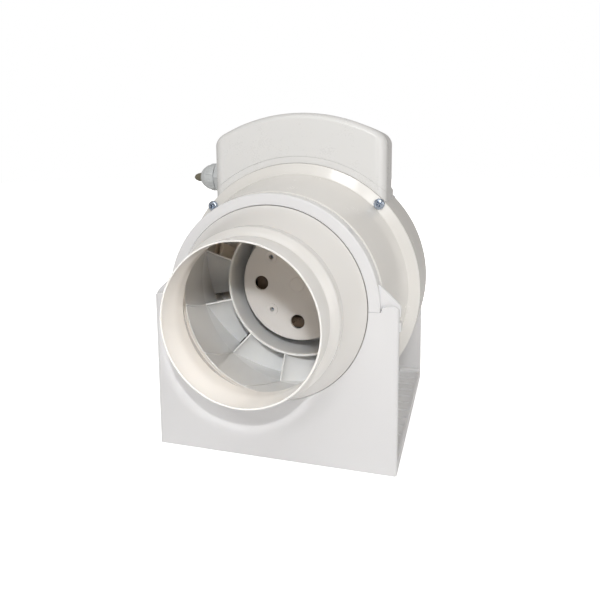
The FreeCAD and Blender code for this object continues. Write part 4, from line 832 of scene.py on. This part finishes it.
# ----------------------------------------------------------------- screws
def screw_master(head_r, head_h, shank_r, shank_l):
    """Pan head above z = 0 with a tapered cross recess; threaded shank below. Millimetres."""
    prof = [(0.0, head_r - 0.12), (0.12, head_r)]
    for i in range(9):
        t = i / 8
        a = t * math.pi / 2
        prof.append((head_h * (0.35 + 0.65 * math.sin(a)), head_r * (0.30 + 0.70 * math.cos(a)) if i < 8 else head_r * 0.28))
    seg = 64
    verts, faces = [], []
    for i in range(seg):
        a = 2 * math.pi * i / seg
        for z, r in prof:
            verts.append((r * math.cos(a), r * math.sin(a), z))
    m = len(prof)
    for i in range(seg):
        i2 = (i + 1) % seg
        for j in range(m - 1):
            faces.append((i * m + j, i2 * m + j, i2 * m + j + 1, i * m + j + 1))
    faces.append(tuple(i * m for i in range(seg)))
    faces.append(tuple(i * m + m - 1 for i in range(seg)))
    head = obj_from(verts, faces, "head")
    w, l, deep = head_r * 0.15, head_r * 0.60, head_h * 0.68
    for turn in (0, 90):
        v = []
        for z, q in ((head_h + 0.4, 1.06), (head_h - deep, 0.42)):
            for sx, sy in ((-1, -1), (1, -1), (1, 1), (-1, 1)):
                x, y = sx * l * q, sy * w * (0.8 + 0.2 * q)
                if turn:
                    x, y = -y, x
                v.append((x, y, z))
        f = [(0, 1, 2, 3), (7, 6, 5, 4), (0, 4, 5, 1), (1, 5, 6, 2), (2, 6, 7, 3), (3, 7, 4, 0)]
        boolean(head, obj_from(v, f, "slot%d" % turn))
    # thread: rings of rising and falling radius down the shank
    seg, pitch = 28, shank_r * 0.85
    rings = [(0.3, shank_r * 0.86)]
    z = -0.35
    while z > -(shank_l - shank_r * 1.3):
        rings += [(z, shank_r * 0.80), (z - pitch * 0.40, shank_r), (z - pitch * 0.52, shank_r)]
        z -= pitch
    rings += [(z, shank_r * 0.8), (-(shank_l - 0.4), shank_r * 0.38), (-shank_l, shank_r * 0.16)]
    verts, faces = [], []
    for z, r in rings:
        for i in range(seg):
            a = 2 * math.pi * i / seg
            verts.append((r * math.cos(a), r * math.sin(a), z))
    for k in range(len(rings) - 1):
        for i in range(seg):
            i2 = (i + 1) % seg
            faces.append((k * seg + i, (k + 1) * seg + i, (k + 1) * seg + i2, k * seg + i2))
    faces.append(tuple(range(seg)))
    faces.append(tuple((len(rings) - 1) * seg + i for i in range(seg)))
    return union([head, obj_from(verts, faces, "shank")], "screw_master")


def screw_group(name, kind, places, body, node, mat="zinc_steel"):
    """places: (position mm, direction the head faces, turn in degrees)"""
    m = screw_master(*kind)
    objs = []
    for pos, direc, turn in places:
        c = m.data.copy()
        q = Vector((0, 0, 1)).rotation_difference(Vector(direc))
        mx = Matrix.Translation(Vector(pos) * MM) @ q.to_matrix().to_4x4() @ Matrix.Rotation(math.radians(turn), 4, "Z")
        c.transform(mx)
        objs.append(link(c, name))
    bpy.data.objects.remove(m)
    g = join(objs, name)
    return place(g, body, [node], M[mat], 40)


def ring_of(y, rad, direc, angles=(45.0, 135.0, 225.0, 315.0)):
    return [((rad * math.cos(math.radians(a)), y, AX + rad * math.sin(math.radians(a))), direc, 20.0 + 31.0 * i) for i, a in enumerate(angles)]


pan = (3.9, 2.6, 1.5, 14.0)
screw_group("outlet_case_screw_set", pan, ring_of(-32.2, SCREW_RING[OUT], (0, -1, 0), CASE_ANGLES), "fan_body", "outlet_case_screws")
screw_group("inlet_case_screw_set", pan, ring_of(32.2, SCREW_RING[INN], (0, 1, 0), CASE_ANGLES), "fan_body", "inlet_case_screws")
screw_group("motor_cover_screw_set", (1.6, 1.1, 1.0, 4.2), ring_of(-22.6, VR, (0, -1, 0)), "fan_body", "motor_cover_screws")
screw_group("motor_fixing_screw_set", (3.0, 1.9, 1.5, 12.0), ring_of(12.3, 47.6, (0, 1, 0)), "fan_body", "motor_fixing_screws")
screw_group("cover_screw_set", (3.2, 2.0, 1.5, 10.6), [((s * 40.0, 16.6, AX + 93.5), (0, 0, 1), 15.0 + 40 * s) for s in (-1, 1)],
            "box_cover", "cover_screws")
screw_group("box_base_screw_set", (3.4, 2.1, 1.5, 9.6), [((s * 8.0, -18.0, AX + 95.9), (0, 0, 1), 10.0 + 33 * s) for s in (-1, 1)],
            "fan_body", "box_base_screws")

# ------------------------------------------------------------ terminal box
GY, GZ, GT = -8.0, 186.8, 10.6
LEAD_Y = 0.6
BR = 95.9


def grid_loop(x0, x1, y0, y1, r, gap=1.4, arc=16):
    """Rounded rectangle sampled evenly, with outward normals: (x, y, nx, ny)."""
    out = []

    def line(ax, ay, bx, by, nx, ny):
        n = max(1, int(math.hypot(bx - ax, by - ay) / gap))
        for i in range(n):
            out.append((ax + (bx - ax) * i / n, ay + (by - ay) * i / n, nx, ny))

    def corner(cx, cy, a0):
        for i in range(arc):
            a = math.radians(a0 + 90.0 * i / arc)
            out.append((cx + r * math.cos(a), cy + r * math.sin(a), math.cos(a), math.sin(a)))

    line(x0 + r, y0, x1 - r, y0, 0, -1)
    corner(x1 - r, y0 + r, -90)
    line(x1, y0 + r, x1, y1 - r, 1, 0)
    corner(x1 - r, y1 - r, 0)
    line(x1 - r, y1, x0 + r, y1, 0, 1)
    corner(x0 + r, y1 - r, 90)
    line(x0, y1 - r, x0, y0 + r, -1, 0)
    corner(x0 + r, y0 + r, 180)
    return out


def bowl(x0, x1, y0, y1, rc, crown, under, edge, name, rim=0.0):
    """Closed skin of a box lid: side walls from the arc 'under', rounded over into the arc 'crown'."""
    loop = grid_loop(x0, x1, y0, y1, rc)
    verts, rows = [], []

    def cz(x):
        return AX + math.sqrt(crown * crown - x * x)

    def uz(x):
        return AX + math.sqrt(under * under - x * x)

    def ring(inset, fz):
        row = []
        for x, y, nx, ny in loop:
            px, py = x - nx * inset, y - ny * inset
            row.append(len(verts))
            verts.append((px, py, fz(x, px)))
        rows.append(row)

    ring(rim, lambda x, px: uz(px))
    if rim:
        ring(0.0, lambda x, px: uz(px) + rim)
    for t in (0.25, 0.5, 0.75, 1.0):
        ring(0.0, lambda x, px, t=t: uz(px) + rim + (cz(px) - edge - uz(px) - rim) * t)
    steps = 9
    for i in range(1, steps + 1):
        a = math.pi / 2 * i / steps
        inset = edge * (1 - math.cos(a))
        ring(inset, lambda x, px, a=a: cz(px) - edge * (1 - math.sin(a)))
    faces = []
    n = len(loop)
    for k in range(len(rows) - 1):
        for i in range(n):
            faces.append((rows[k][i], rows[k][(i + 1) % n], rows[k + 1][(i + 1) % n], rows[k + 1][i]))
    # crown field: shrink the last ring towards the spine in even steps
    mx, my = (x0 + x1) / 2, (y0 + y1) / 2
    last = rows[-1]
    hw = (y1 - y0) / 2 - edge
    prev = last
    for t in (0.75, 0.5, 0.25, 0.0):
        row = []
        for idx in last:
            x, y, _ = verts[idx]
            yy = my + (y - my) * t
            xx = x
            row.append(len(verts))
            verts.append((xx, yy, cz(xx)))
        for i in range(n):
            faces.append((prev[i], prev[(i + 1) % n], row[(i + 1) % n], row[i]))
        prev = row
    return verts, faces, rows[0]


def clean(o, dist=1e-5):
    bm = bmesh.new()
    bm.from_mesh(o.data)
    bmesh.ops.remove_doubles(bm, verts=bm.verts, dist=dist)
    bmesh.ops.dissolve_degenerate(bm, dist=1e-7, edges=bm.edges)
    bmesh.ops.recalc_face_normals(bm, faces=bm.faces)
    bm.to_mesh(o.data)
    bm.free()
    return o


def closed_lid(x0, x1, y0, y1, rc, crown, under, edge, name):
    """Solid block under the lid skin, closed by a flat bottom below the arc."""
    v, f, bottom = bowl(x0, x1, y0, y1, rc, crown, under, edge, name)
    verts = [tuple(p) for p in v]
    base = []
    for idx in bottom:
        x, y, z = verts[idx]
        base.append(len(verts))
        verts.append((x, y, AX + 40.0))
    n = len(bottom)
    for i in range(n):
        f.append((base[i], base[(i + 1) % n], bottom[(i + 1) % n], bottom[i]))
    f.append(tuple(reversed(base)))
    o = obj_from(verts, f, name)
    return clean(o, 2e-6)


def cover():
    body = closed_lid(-BOX_H, BOX_H, -28.7, 11.3, 8.0, 127.4, 80.0, 5.0, "cover")
    feet = [prism("foot", rrect(s * 40 - 5.5, s * 40 + 5.5, 9.8, 21.0, 1.4), [], AX + 82.0, AX + 93.5, axis="z", bevel=0.5) for s in (-1, 1)]
    body = union([body] + feet, "cover")
    room = closed_lid(-BOX_H + 2.4, BOX_H - 2.4, -26.3, 8.9, 5.6, 125.0, 80.0, 2.6, "room")
    room.data.transform(Matrix.Identity(4))
    # the room reaches below the block, so the lid is open underneath
    for v in room.data.vertices:
        if v.co.z < (AX + 41.0) * MM:
            v.co.z -= 5.0 * MM
    boolean(body, room)
    under = prism("under", circle(0, AX, BR + 0.1, 400), [], -60, 60, axis="y", bevel=0.001, segs=1)
    boolean(body, under)
    for s in (-1, 1):
        boolean(body, prism("hole", circle(s * 40.0, 16.6, 1.8, 32), [], AX + 70, AX + 110, axis="z", bevel=0.001, segs=1))
    g = GT + 0.2
    pts = [(GY - g, AX + 40.0), (GY + g, AX + 40.0)] + [(GY + g * math.cos(math.pi * i / 40), GZ + g * math.sin(math.pi * i / 40)) for i in range(41)]
    boolean(body, prism("slot", pts, [], -BOX_H - 3, -BOX_H + 5.4, axis="x", bevel=0.001, segs=1))
    body.name = "terminal_box_cover_skin"
    return body


cov = cover()
place(cov, "box_cover", ["terminal_box_cover"], M["box_plastic"], 42)


def wall_ring(ox, oy0, oy1, wall, top_r, bot_r, name, rc=2.0):
    o_loop = grid_loop(-ox, ox, oy0, oy1, rc, 1.6, 6)
    i_loop = [(x - nx * wall, y - ny * wall) for x, y, nx, ny in o_loop]
    verts, faces = [], []
    n = len(o_loop)
    for (x, y, _, _), (ix, iy) in zip(o_loop, i_loop):
        verts += [(x, y, AX + math.sqrt(bot_r ** 2 - x * x)), (x, y, AX + math.sqrt(top_r ** 2 - x * x)),
                  (ix, iy, AX + math.sqrt(top_r ** 2 - ix * ix)), (ix, iy, AX + math.sqrt(bot_r ** 2 - ix * ix))]
    for i in range(n):
        j = (i + 1) % n
        for k in range(4):
            k2 = (k + 1) % 4
            faces.append((i * 4 + k, i * 4 + k2, j * 4 + k2, j * 4 + k))
    return obj_from(verts, faces, name)


def box_base():
    a = math.degrees(math.acos(BOX_H / BR))
    b = math.degrees(math.acos(BOX_H / 91.1))
    out = [(BR * math.cos(math.radians(a + (180 - 2 * a) * i / 120)), AX + BR * math.sin(math.radians(a + (180 - 2 * a) * i / 120))) for i in range(121)]
    inn = [(91.1 * math.cos(math.radians(180 - b - (180 - 2 * b) * i / 120)), AX + 91.1 * math.sin(math.radians(180 - b - (180 - 2 * b) * i / 120))) for i in range(121)]
    bits = [prism("saddle", out + inn, [], -28.9, 21.5, axis="y", bevel=0.35),
            wall_ring(63.0, -26.0, 8.6, 1.6, 99.3, 94.2, "lip", rc=5.3)]
    pts = [(GY - GT, AX + 64.5), (GY + GT, AX + 64.5)] + [(GY + GT * math.cos(math.pi * i / 40), GZ + GT * math.sin(math.pi * i / 40)) for i in range(41)]
    bits.append(prism("tab", pts, [], -BOX_H, -BOX_H + 2.4, axis="x", bevel=0.25))
    bits.append(prism("collar", circle(0, LEAD_Y, 6.6, 64), [], AX + 94.0, AX + BR + 1.6, axis="z", bevel=0.3))
    for s in (-1, 1):
        bits.append(prism("pad", circle(s * 8.0, -18.0, 4.2, 48), [], AX + 93.5, AX + BR + 0.05, axis="z", bevel=0.1))
    o = union(bits, "terminal_box_base_skin")
    boolean(o, prism("round", rrect(-BOX_H - 0.01, BOX_H + 0.01, -28.91, 21.51, 8.0), [], AX + 20, AX + 120, axis="z", bevel=0.001, segs=1), "INTERSECT")
    boolean(o, prism("nut_room", rrect(GY - 12.4, GY + 12.4, GZ - 10.4, GZ + 12.0, 0.5), [], -BOX_H + 2.4, -BOX_H + 6.4, axis="x", bevel=0.001, segs=1))
    boolean(o, prism("h", circle(GY, GZ, 8.0, 48), [], -BOX_H - 5, -BOX_H + 14, axis="x", bevel=0.001, segs=1))
    boolean(o, prism("h", circle(0, LEAD_Y, 5.0, 48), [], AX + 80, AX + 110, axis="z", bevel=0.001, segs=1))
    for s in (-1, 1):
        boolean(o, prism("h", circle(s * 40.0, 16.6, 1.6, 32), [], AX + 70, AX + 100, axis="z", bevel=0.001, segs=1))
        boolean(o, prism("h", circle(s * 8.0, -18.0, 1.6, 32), [], AX + 80, AX + 110, axis="z", bevel=0.001, segs=1))
    return o


place(box_base(), "fan_body", ["terminal_box_base"], M["box_plastic"], 42)

# ------------------------------------------------------------ cable gland
def lathe_x(name, pts, seg=96, wob=None):
    """Closed profile of (distance along -X, radius, fillet) turned about the gland's own axis."""
    prof = round_poly(pts)
    m = len(prof)
    verts, faces = [], []
    for i in range(seg):
        a = 2 * math.pi * i / seg
        for d_, r in prof:
            rr = r if wob is None else wob(a, d_, r)
            verts.append((-d_, GY + rr * math.cos(a), GZ + rr * math.sin(a)))
    for i in range(seg):
        i2 = (i + 1) % seg
        for j in range(m):
            j2 = (j + 1) % m
            faces.append((i * m + j, i * m + j2, i2 * m + j2, i2 * m + j))
    return obj_from(verts, faces, name)


def gland_hex(name, hole, d0, d1):
    r = 20.0 / math.sqrt(3)
    o = prism(name, round_poly([(GY + x, GZ + z, 0.5) for x, z in hexagon(r)]), [], -d1, -d0, axis="x", bevel=0.15, segs=2)
    keep = lathe_x("keep", [(d0, hole, 0), (d0, 10.4, 0), (d0 + 0.9, 11.7, 0), (d1 - 0.9, 11.7, 0), (d1, 10.4, 0), (d1, hole, 0)])
    return boolean(o, keep, "INTERSECT")


thread = [(59.0, 5.2, 0), (59.0, 7.4, 0.2)]
x = 59.6
while x < 77.2:
    thread += [(x, 7.9, 0), (x + 0.25, 7.9, 0), (x + 0.75, 7.35, 0)]
    x += 1.5
thread += [(77.8, 7.35, 0.2), (77.8, 5.2, 0.3)]
gb = union([gland_hex("gland_hex", 7.0, 65.8, 70.9), lathe_x("thread", thread)], "gland_body_skin")
place(gb, "fan_body", ["gland_body"], M["gland_nylon"], 30)


def ribs(a, d_, r):
    """Ten grip ribs round the skirt of the cap."""
    if r < 9.3 or d_ < 71.9 or d_ > 77.6:
        return r
    u = (a * 10 / (2 * math.pi)) % 1.0
    w = abs(u - 0.5) * 2
    lift = max(0.0, min(1.0, (0.42 - w) / 0.10)) if w < 0.42 else 0.0
    ease = max(0.0, min(1.0, (d_ - 71.9) / 0.8)) * max(0.0, min(1.0, (77.6 - d_) / 1.4))
    return r + 0.5 * lift * ease


skirt = [(71.3, 8.0, 0.2), (71.3, 10.4, 0.4)] + [(72.0 + 0.5 * i, 10.4, 0) for i in range(6)] + [(75.0 + 0.5 * i, 10.35 - 0.12 * i, 0) for i in range(7)]
capm = lathe_x("gland_cap_skin", skirt + [(79.2, 9.3, 2.0), (82.6, 7.0, 2.5), (84.4, 4.9, 0.4), (84.4, 4.2, 0.2), (83.0, 4.2, 0.2), (78.5, 7.9, 0.2)],
               seg=240, wob=ribs)
place(capm, "gland_cap", ["gland_cap"], M["gland_nylon"], 35)
place(lathe_x("gland_seal_skin", [(77.9, 3.7, 0.1), (77.9, 7.6, 0.2), (78.4, 7.6, 0.2), (82.7, 4.05, 0.2), (84.9, 4.05, 0.1), (84.9, 3.7, 0.05)]),
      "fan_body", ["gland_seal"], M["black_rubber"])
ln = gland_hex("gland_locknut_skin", 7.92, 59.72, 63.28)
ln.name = "gland_locknut_skin"
place(ln, "fan_body", ["gland_locknut"], M["gland_nylon"], 30)


def solid_x(name, pts, seg=64):
    prof = [p for p in round_poly(pts, closed=False) if p[1] > 1e-6]
    m = len(prof)
    verts, faces = [], []
    for i in range(seg):
        a = 2 * math.pi * i / seg
        for d_, r in prof:
            verts.append((-d_, GY + r * math.cos(a), GZ + r * math.sin(a)))
    for i in range(seg):
        i2 = (i + 1) % seg
        for j in range(m - 1):
            faces.append((i * m + j, i * m + j + 1, i2 * m + j + 1, i2 * m + j))
    for j in (0, m - 1):
        faces.append(tuple(i * m + j for i in range(seg)))
    return obj_from(verts, faces, name)


place(solid_x("gland_plug_skin", [(62.0, 2.6), (62.0, 3.2, 0.3), (77.5, 3.6, 1.0), (85.5, 3.6, 1.5), (88.4, 3.1, 1.0), (90.5, 2.2, 0.8), (91.5, 1.0, 0.3), (91.5, 0.4)]),
      "fan_body", ["gland_plug"], M["plug_rubber"])

# --------------------------------------- pieces that keep their CAD meshes
def keep(node, mat, bevel=0.25, angle=32.0):
    """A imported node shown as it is, with its hard edges eased and its own finish."""
    o = N[node]
    w = o.modifiers.new("weld", "WELD")
    w.merge_threshold = 2e-6
    if bevel:
        b = o.modifiers.new("ease", "BEVEL")
        b.width = bevel * MM
        b.segments = 2
        b.limit_method = "ANGLE"
        b.angle_limit = math.radians(angle)
        b.use_clamp_overlap = True
    n = o.modifiers.new("normals", "WEIGHTED_NORMAL")
    n.mode = "FACE_AREA"
    n.keep_sharp = False
    for p in o.data.polygons:
        p.use_smooth = True
    o.data.materials.clear()
    o.data.materials.append(mat)
    return o


KEEP = {
    "stator_stack": ("lamination_steel", 0.15), "stator_windings": ("winding_copper", 0.3), "motor_rotor": ("rotor_aluminium", 0.3),
    "outlet_bearing_outer": ("bearing_steel", 0.25), "outlet_bearing_inner": ("bearing_steel", 0.2), "outlet_bearing_balls": ("bearing_steel", 0.0),
    "inlet_bearing_outer": ("bearing_steel", 0.25), "inlet_bearing_inner": ("bearing_steel", 0.2), "inlet_bearing_balls": ("bearing_steel", 0.0),
    "impeller_bush": ("bush_brass", 0.3), "terminal_block": ("block_plastic", 0.35), "terminal_screws": ("terminal_brass", 0.1),
    "run_capacitor": ("capacitor_plastic", 0.0), "capacitor_clip": ("clip_plastic", 0.3), "lead_grommet": ("black_rubber", 0.3),
    "motor_lead": ("lead_pvc", 0.0),
}
for nm, (mt, bv) in KEEP.items():
    keep(nm, M[mt], bv)

# ------------------------------------------------------------------ studio
def studio():
    w = bpy.data.worlds.new("studio")
    bpy.context.scene.world = w
    w.use_nodes = True
    t = w.node_tree
    bg = t.nodes["Background"]
    bg.inputs[0].default_value = (1.0, 0.965, 0.93, 1)
    bg.inputs[1].default_value = 0.34
    lp = t.nodes.new("ShaderNodeLightPath")
    wh = t.nodes.new("ShaderNodeBackground")
    wh.inputs[0].default_value = (1, 1, 1, 1)
    wh.inputs[1].default_value = 1.0
    mx = t.nodes.new("ShaderNodeMixShader")
    t.links.new(lp.outputs["Is Camera Ray"], mx.inputs[0])
    t.links.new(bg.outputs[0], mx.inputs[1])
    t.links.new(wh.outputs[0], mx.inputs[2])
    t.links.new(mx.outputs[0], t.nodes["World Output"].inputs[0])

    # plain pale floor, finely divided so that it is a sheet of its own
    n_ = 24
    verts = [(-6 + 12 * i / n_, -4 + 12 * j / n_, 0.0) for j in range(n_ + 1) for i in range(n_ + 1)]
    faces = [(j * (n_ + 1) + i, j * (n_ + 1) + i + 1, (j + 1) * (n_ + 1) + i + 1, (j + 1) * (n_ + 1) + i) for j in range(n_) for i in range(n_)]
    me = bpy.data.meshes.new("floor")
    me.from_pydata(verts, [], faces)
    fl = link(me, "floor")
    n = Nodes("floor_white")
    n.link(n.mix(n.noise(3.0, 2.0), [0.93, 0.93, 0.93], [0.91, 0.91, 0.912]), n.p.inputs["Base Color"])
    n.set("Roughness", 0.8)
    n.set("Specular IOR Level", 0.1)
    # the sheet brightens away from the fan until it meets the white backdrop
    lpf = n.add("ShaderNodeLightPath")
    far = n.add("ShaderNodeVectorMath", operation="LENGTH")
    n.link(n.co.outputs["Object"], far.inputs[0])
    glow = n.remap(far.outputs["Value"], 0.68, 1.1, 0.08, 0.22)
    n.set("Emission Color", (1, 1, 1, 1))
    n.link(n.math("MULTIPLY", lpf.outputs["Is Camera Ray"], glow), n.p.inputs["Emission Strength"])
    me.materials.append(n.mat)

    def area(name, direc, dist, size, watts, aim, colour=(1, 1, 1), size_y=None):
        l = bpy.data.lights.new(name, "AREA")
        l.shape = "RECTANGLE" if size_y else "SQUARE"
        l.size = size
        if size_y:
            l.size_y = size_y
        l.energy = watts
        l.color = colour
        o = bpy.data.objects.new(name, l)
        bpy.context.scene.collection.objects.link(o)
        dv = Vector(direc).normalized()
        o.location = Vector(aim) + dv * dist
        o.rotation_euler = (-dv).to_track_quat("-Z", "Y").to_euler()
        return o

    mid = (0, -0.05, 0.12)
    area("front_top", (0.0, -0.75, 1.0), 1.6, 1.3, 5.4, mid, (1.0, 0.995, 0.985))
    area("left_fill", (-1.0, -0.9, 0.25), 1.8, 1.2, 1.2, mid, (0.97, 0.985, 1.0))
    area("right_fill", (1.0, -0.62, 0.12), 1.8, 1.2, 6.5, mid, (1.0, 0.985, 0.965))
    area("softbox", (0.010, -0.890, 0.455), 1.2, 0.21, 1.4, (0.036, -0.031, 0.185), (1.0, 1.0, 1.0), 0.13)
    # a small lamp up and to the right of the camera throws the crisp shadows
    lamp = Vector((0.1483, -0.5235, 0.315))
    dv = lamp - Vector((0.0, -0.09, 0.11))
    area("flash", tuple(dv), dv.length, 0.026, 0.47, (0.0, -0.09, 0.11), (1.0, 0.99, 0.975))
    l = bpy.data.lights.new("mouth_light", "SPOT")
    l.energy = 6.6
    l.color = (0.985, 0.99, 1.0)
    l.spot_size = math.radians(2 * 6.25)
    l.spot_blend = 0.15
    l.shadow_soft_size = 0.007
    o = bpy.data.objects.new("mouth_light", l)
    bpy.context.scene.collection.objects.link(o)
    o.location = lamp
    # the cone is squeezed to the mouth's outline as the lamp sees it
    z_ = (lamp - Vector((0.0, -0.1453, 0.106))).normalized()
    x_ = Vector((0.1483, 0.0, 0.209))
    x_ = (x_ - z_ * x_.dot(z_)).normalized()
    y_ = z_.cross(x_)
    turn = Matrix((x_, y_, z_)).transposed()
    o.rotation_euler = turn.to_euler()
    o.scale = (0.80, 1.0, 1.0)
    # low light into the space between the two uprights
    l = bpy.data.lights.new("side_bounce", "SPOT")
    l.energy = 2.8
    l.color = (1.0, 1.0, 0.99)
    l.spot_size = math.radians(2 * 10.0)
    l.spot_blend = 0.6
    l.shadow_soft_size = 0.08
    o = bpy.data.objects.new("side_bounce", l)
    bpy.context.scene.collection.objects.link(o)
    o.location = (0.50, -0.15, 0.05)
    o.rotation_euler = (Vector((0.08, 0.06, 0.05)) - Vector(o.location)).to_track_quat("-Z", "Y").to_euler()
    # warm light that the thin white walls let through into the duct
    for k_, (a_, r_, y_, p_) in enumerate(((62.0, 68.0, -14.0, 0.016), (100.0, 68.0, -14.0, 0.016), (138.0, 68.0, -14.0, 0.016),
                                           (20.0, 68.0, -14.0, 0.012), (75.0, 36.0, -104.0, 0.012))):
        l = bpy.data.lights.new("glow%d" % k_, "POINT")
        l.energy = p_
        l.color = (1.0, 0.74, 0.50)
        l.shadow_soft_size = 0.006
        o = bpy.data.objects.new("glow%d" % k_, l)
        bpy.context.scene.collection.objects.link(o)
        o.location = (r_ * MM * math.cos(math.radians(a_)), y_ * MM, (AX + r_ * math.sin(math.radians(a_))) * MM)
        o.visible_camera = False


studio()

# ------------------------------------------------------------------ camera
AZ_, EL_, ROLL, D_, F_ = 0.304907, 0.130742, -0.010169, 383.952, 573.176
TX, TZ, CX, CY = 11.6806, 40.7471, 288.745, 241.969
b = np.array([math.sin(AZ_) * math.cos(EL_), -math.cos(AZ_) * math.cos(EL_), math.sin(EL_)])
f = -b
r = np.cross(f, [0, 0, 1.0])
r /= np.linalg.norm(r)
u = np.cross(r, f)
r2 = math.cos(ROLL) * r + math.sin(ROLL) * u
u2 = -math.sin(ROLL) * r + math.cos(ROLL) * u
C = np.array([0, 60.0, 0]) - f * D_ + r2 * TX + u2 * TZ
loc = Vector((0.98 * C[0] * MM, (0.98 * C[1] - 145.3) * MM, (0.98 * C[2] + 106.0) * MM))
cam_data = bpy.data.cameras.new("camera")
cam_data.sensor_width = 36.0
cam_data.lens = F_ / 600.0 * 36.0
cam_data.shift_x = (300.0 - CX) / 600.0
cam_data.shift_y = -(300.0 - CY) / 600.0
cam_data.clip_start = 0.01
cam = bpy.data.objects.new("camera", cam_data)
bpy.context.scene.collection.objects.link(cam)
m3 = Matrix((r2, u2, b)).transposed().to_4x4()
cam.matrix_world = Matrix.Translation(loc) @ m3
bpy.context.scene.camera = cam
bpy.context.scene.view_settings.view_transform = "Standard"
bpy.context.scene.view_settings.look = "None"
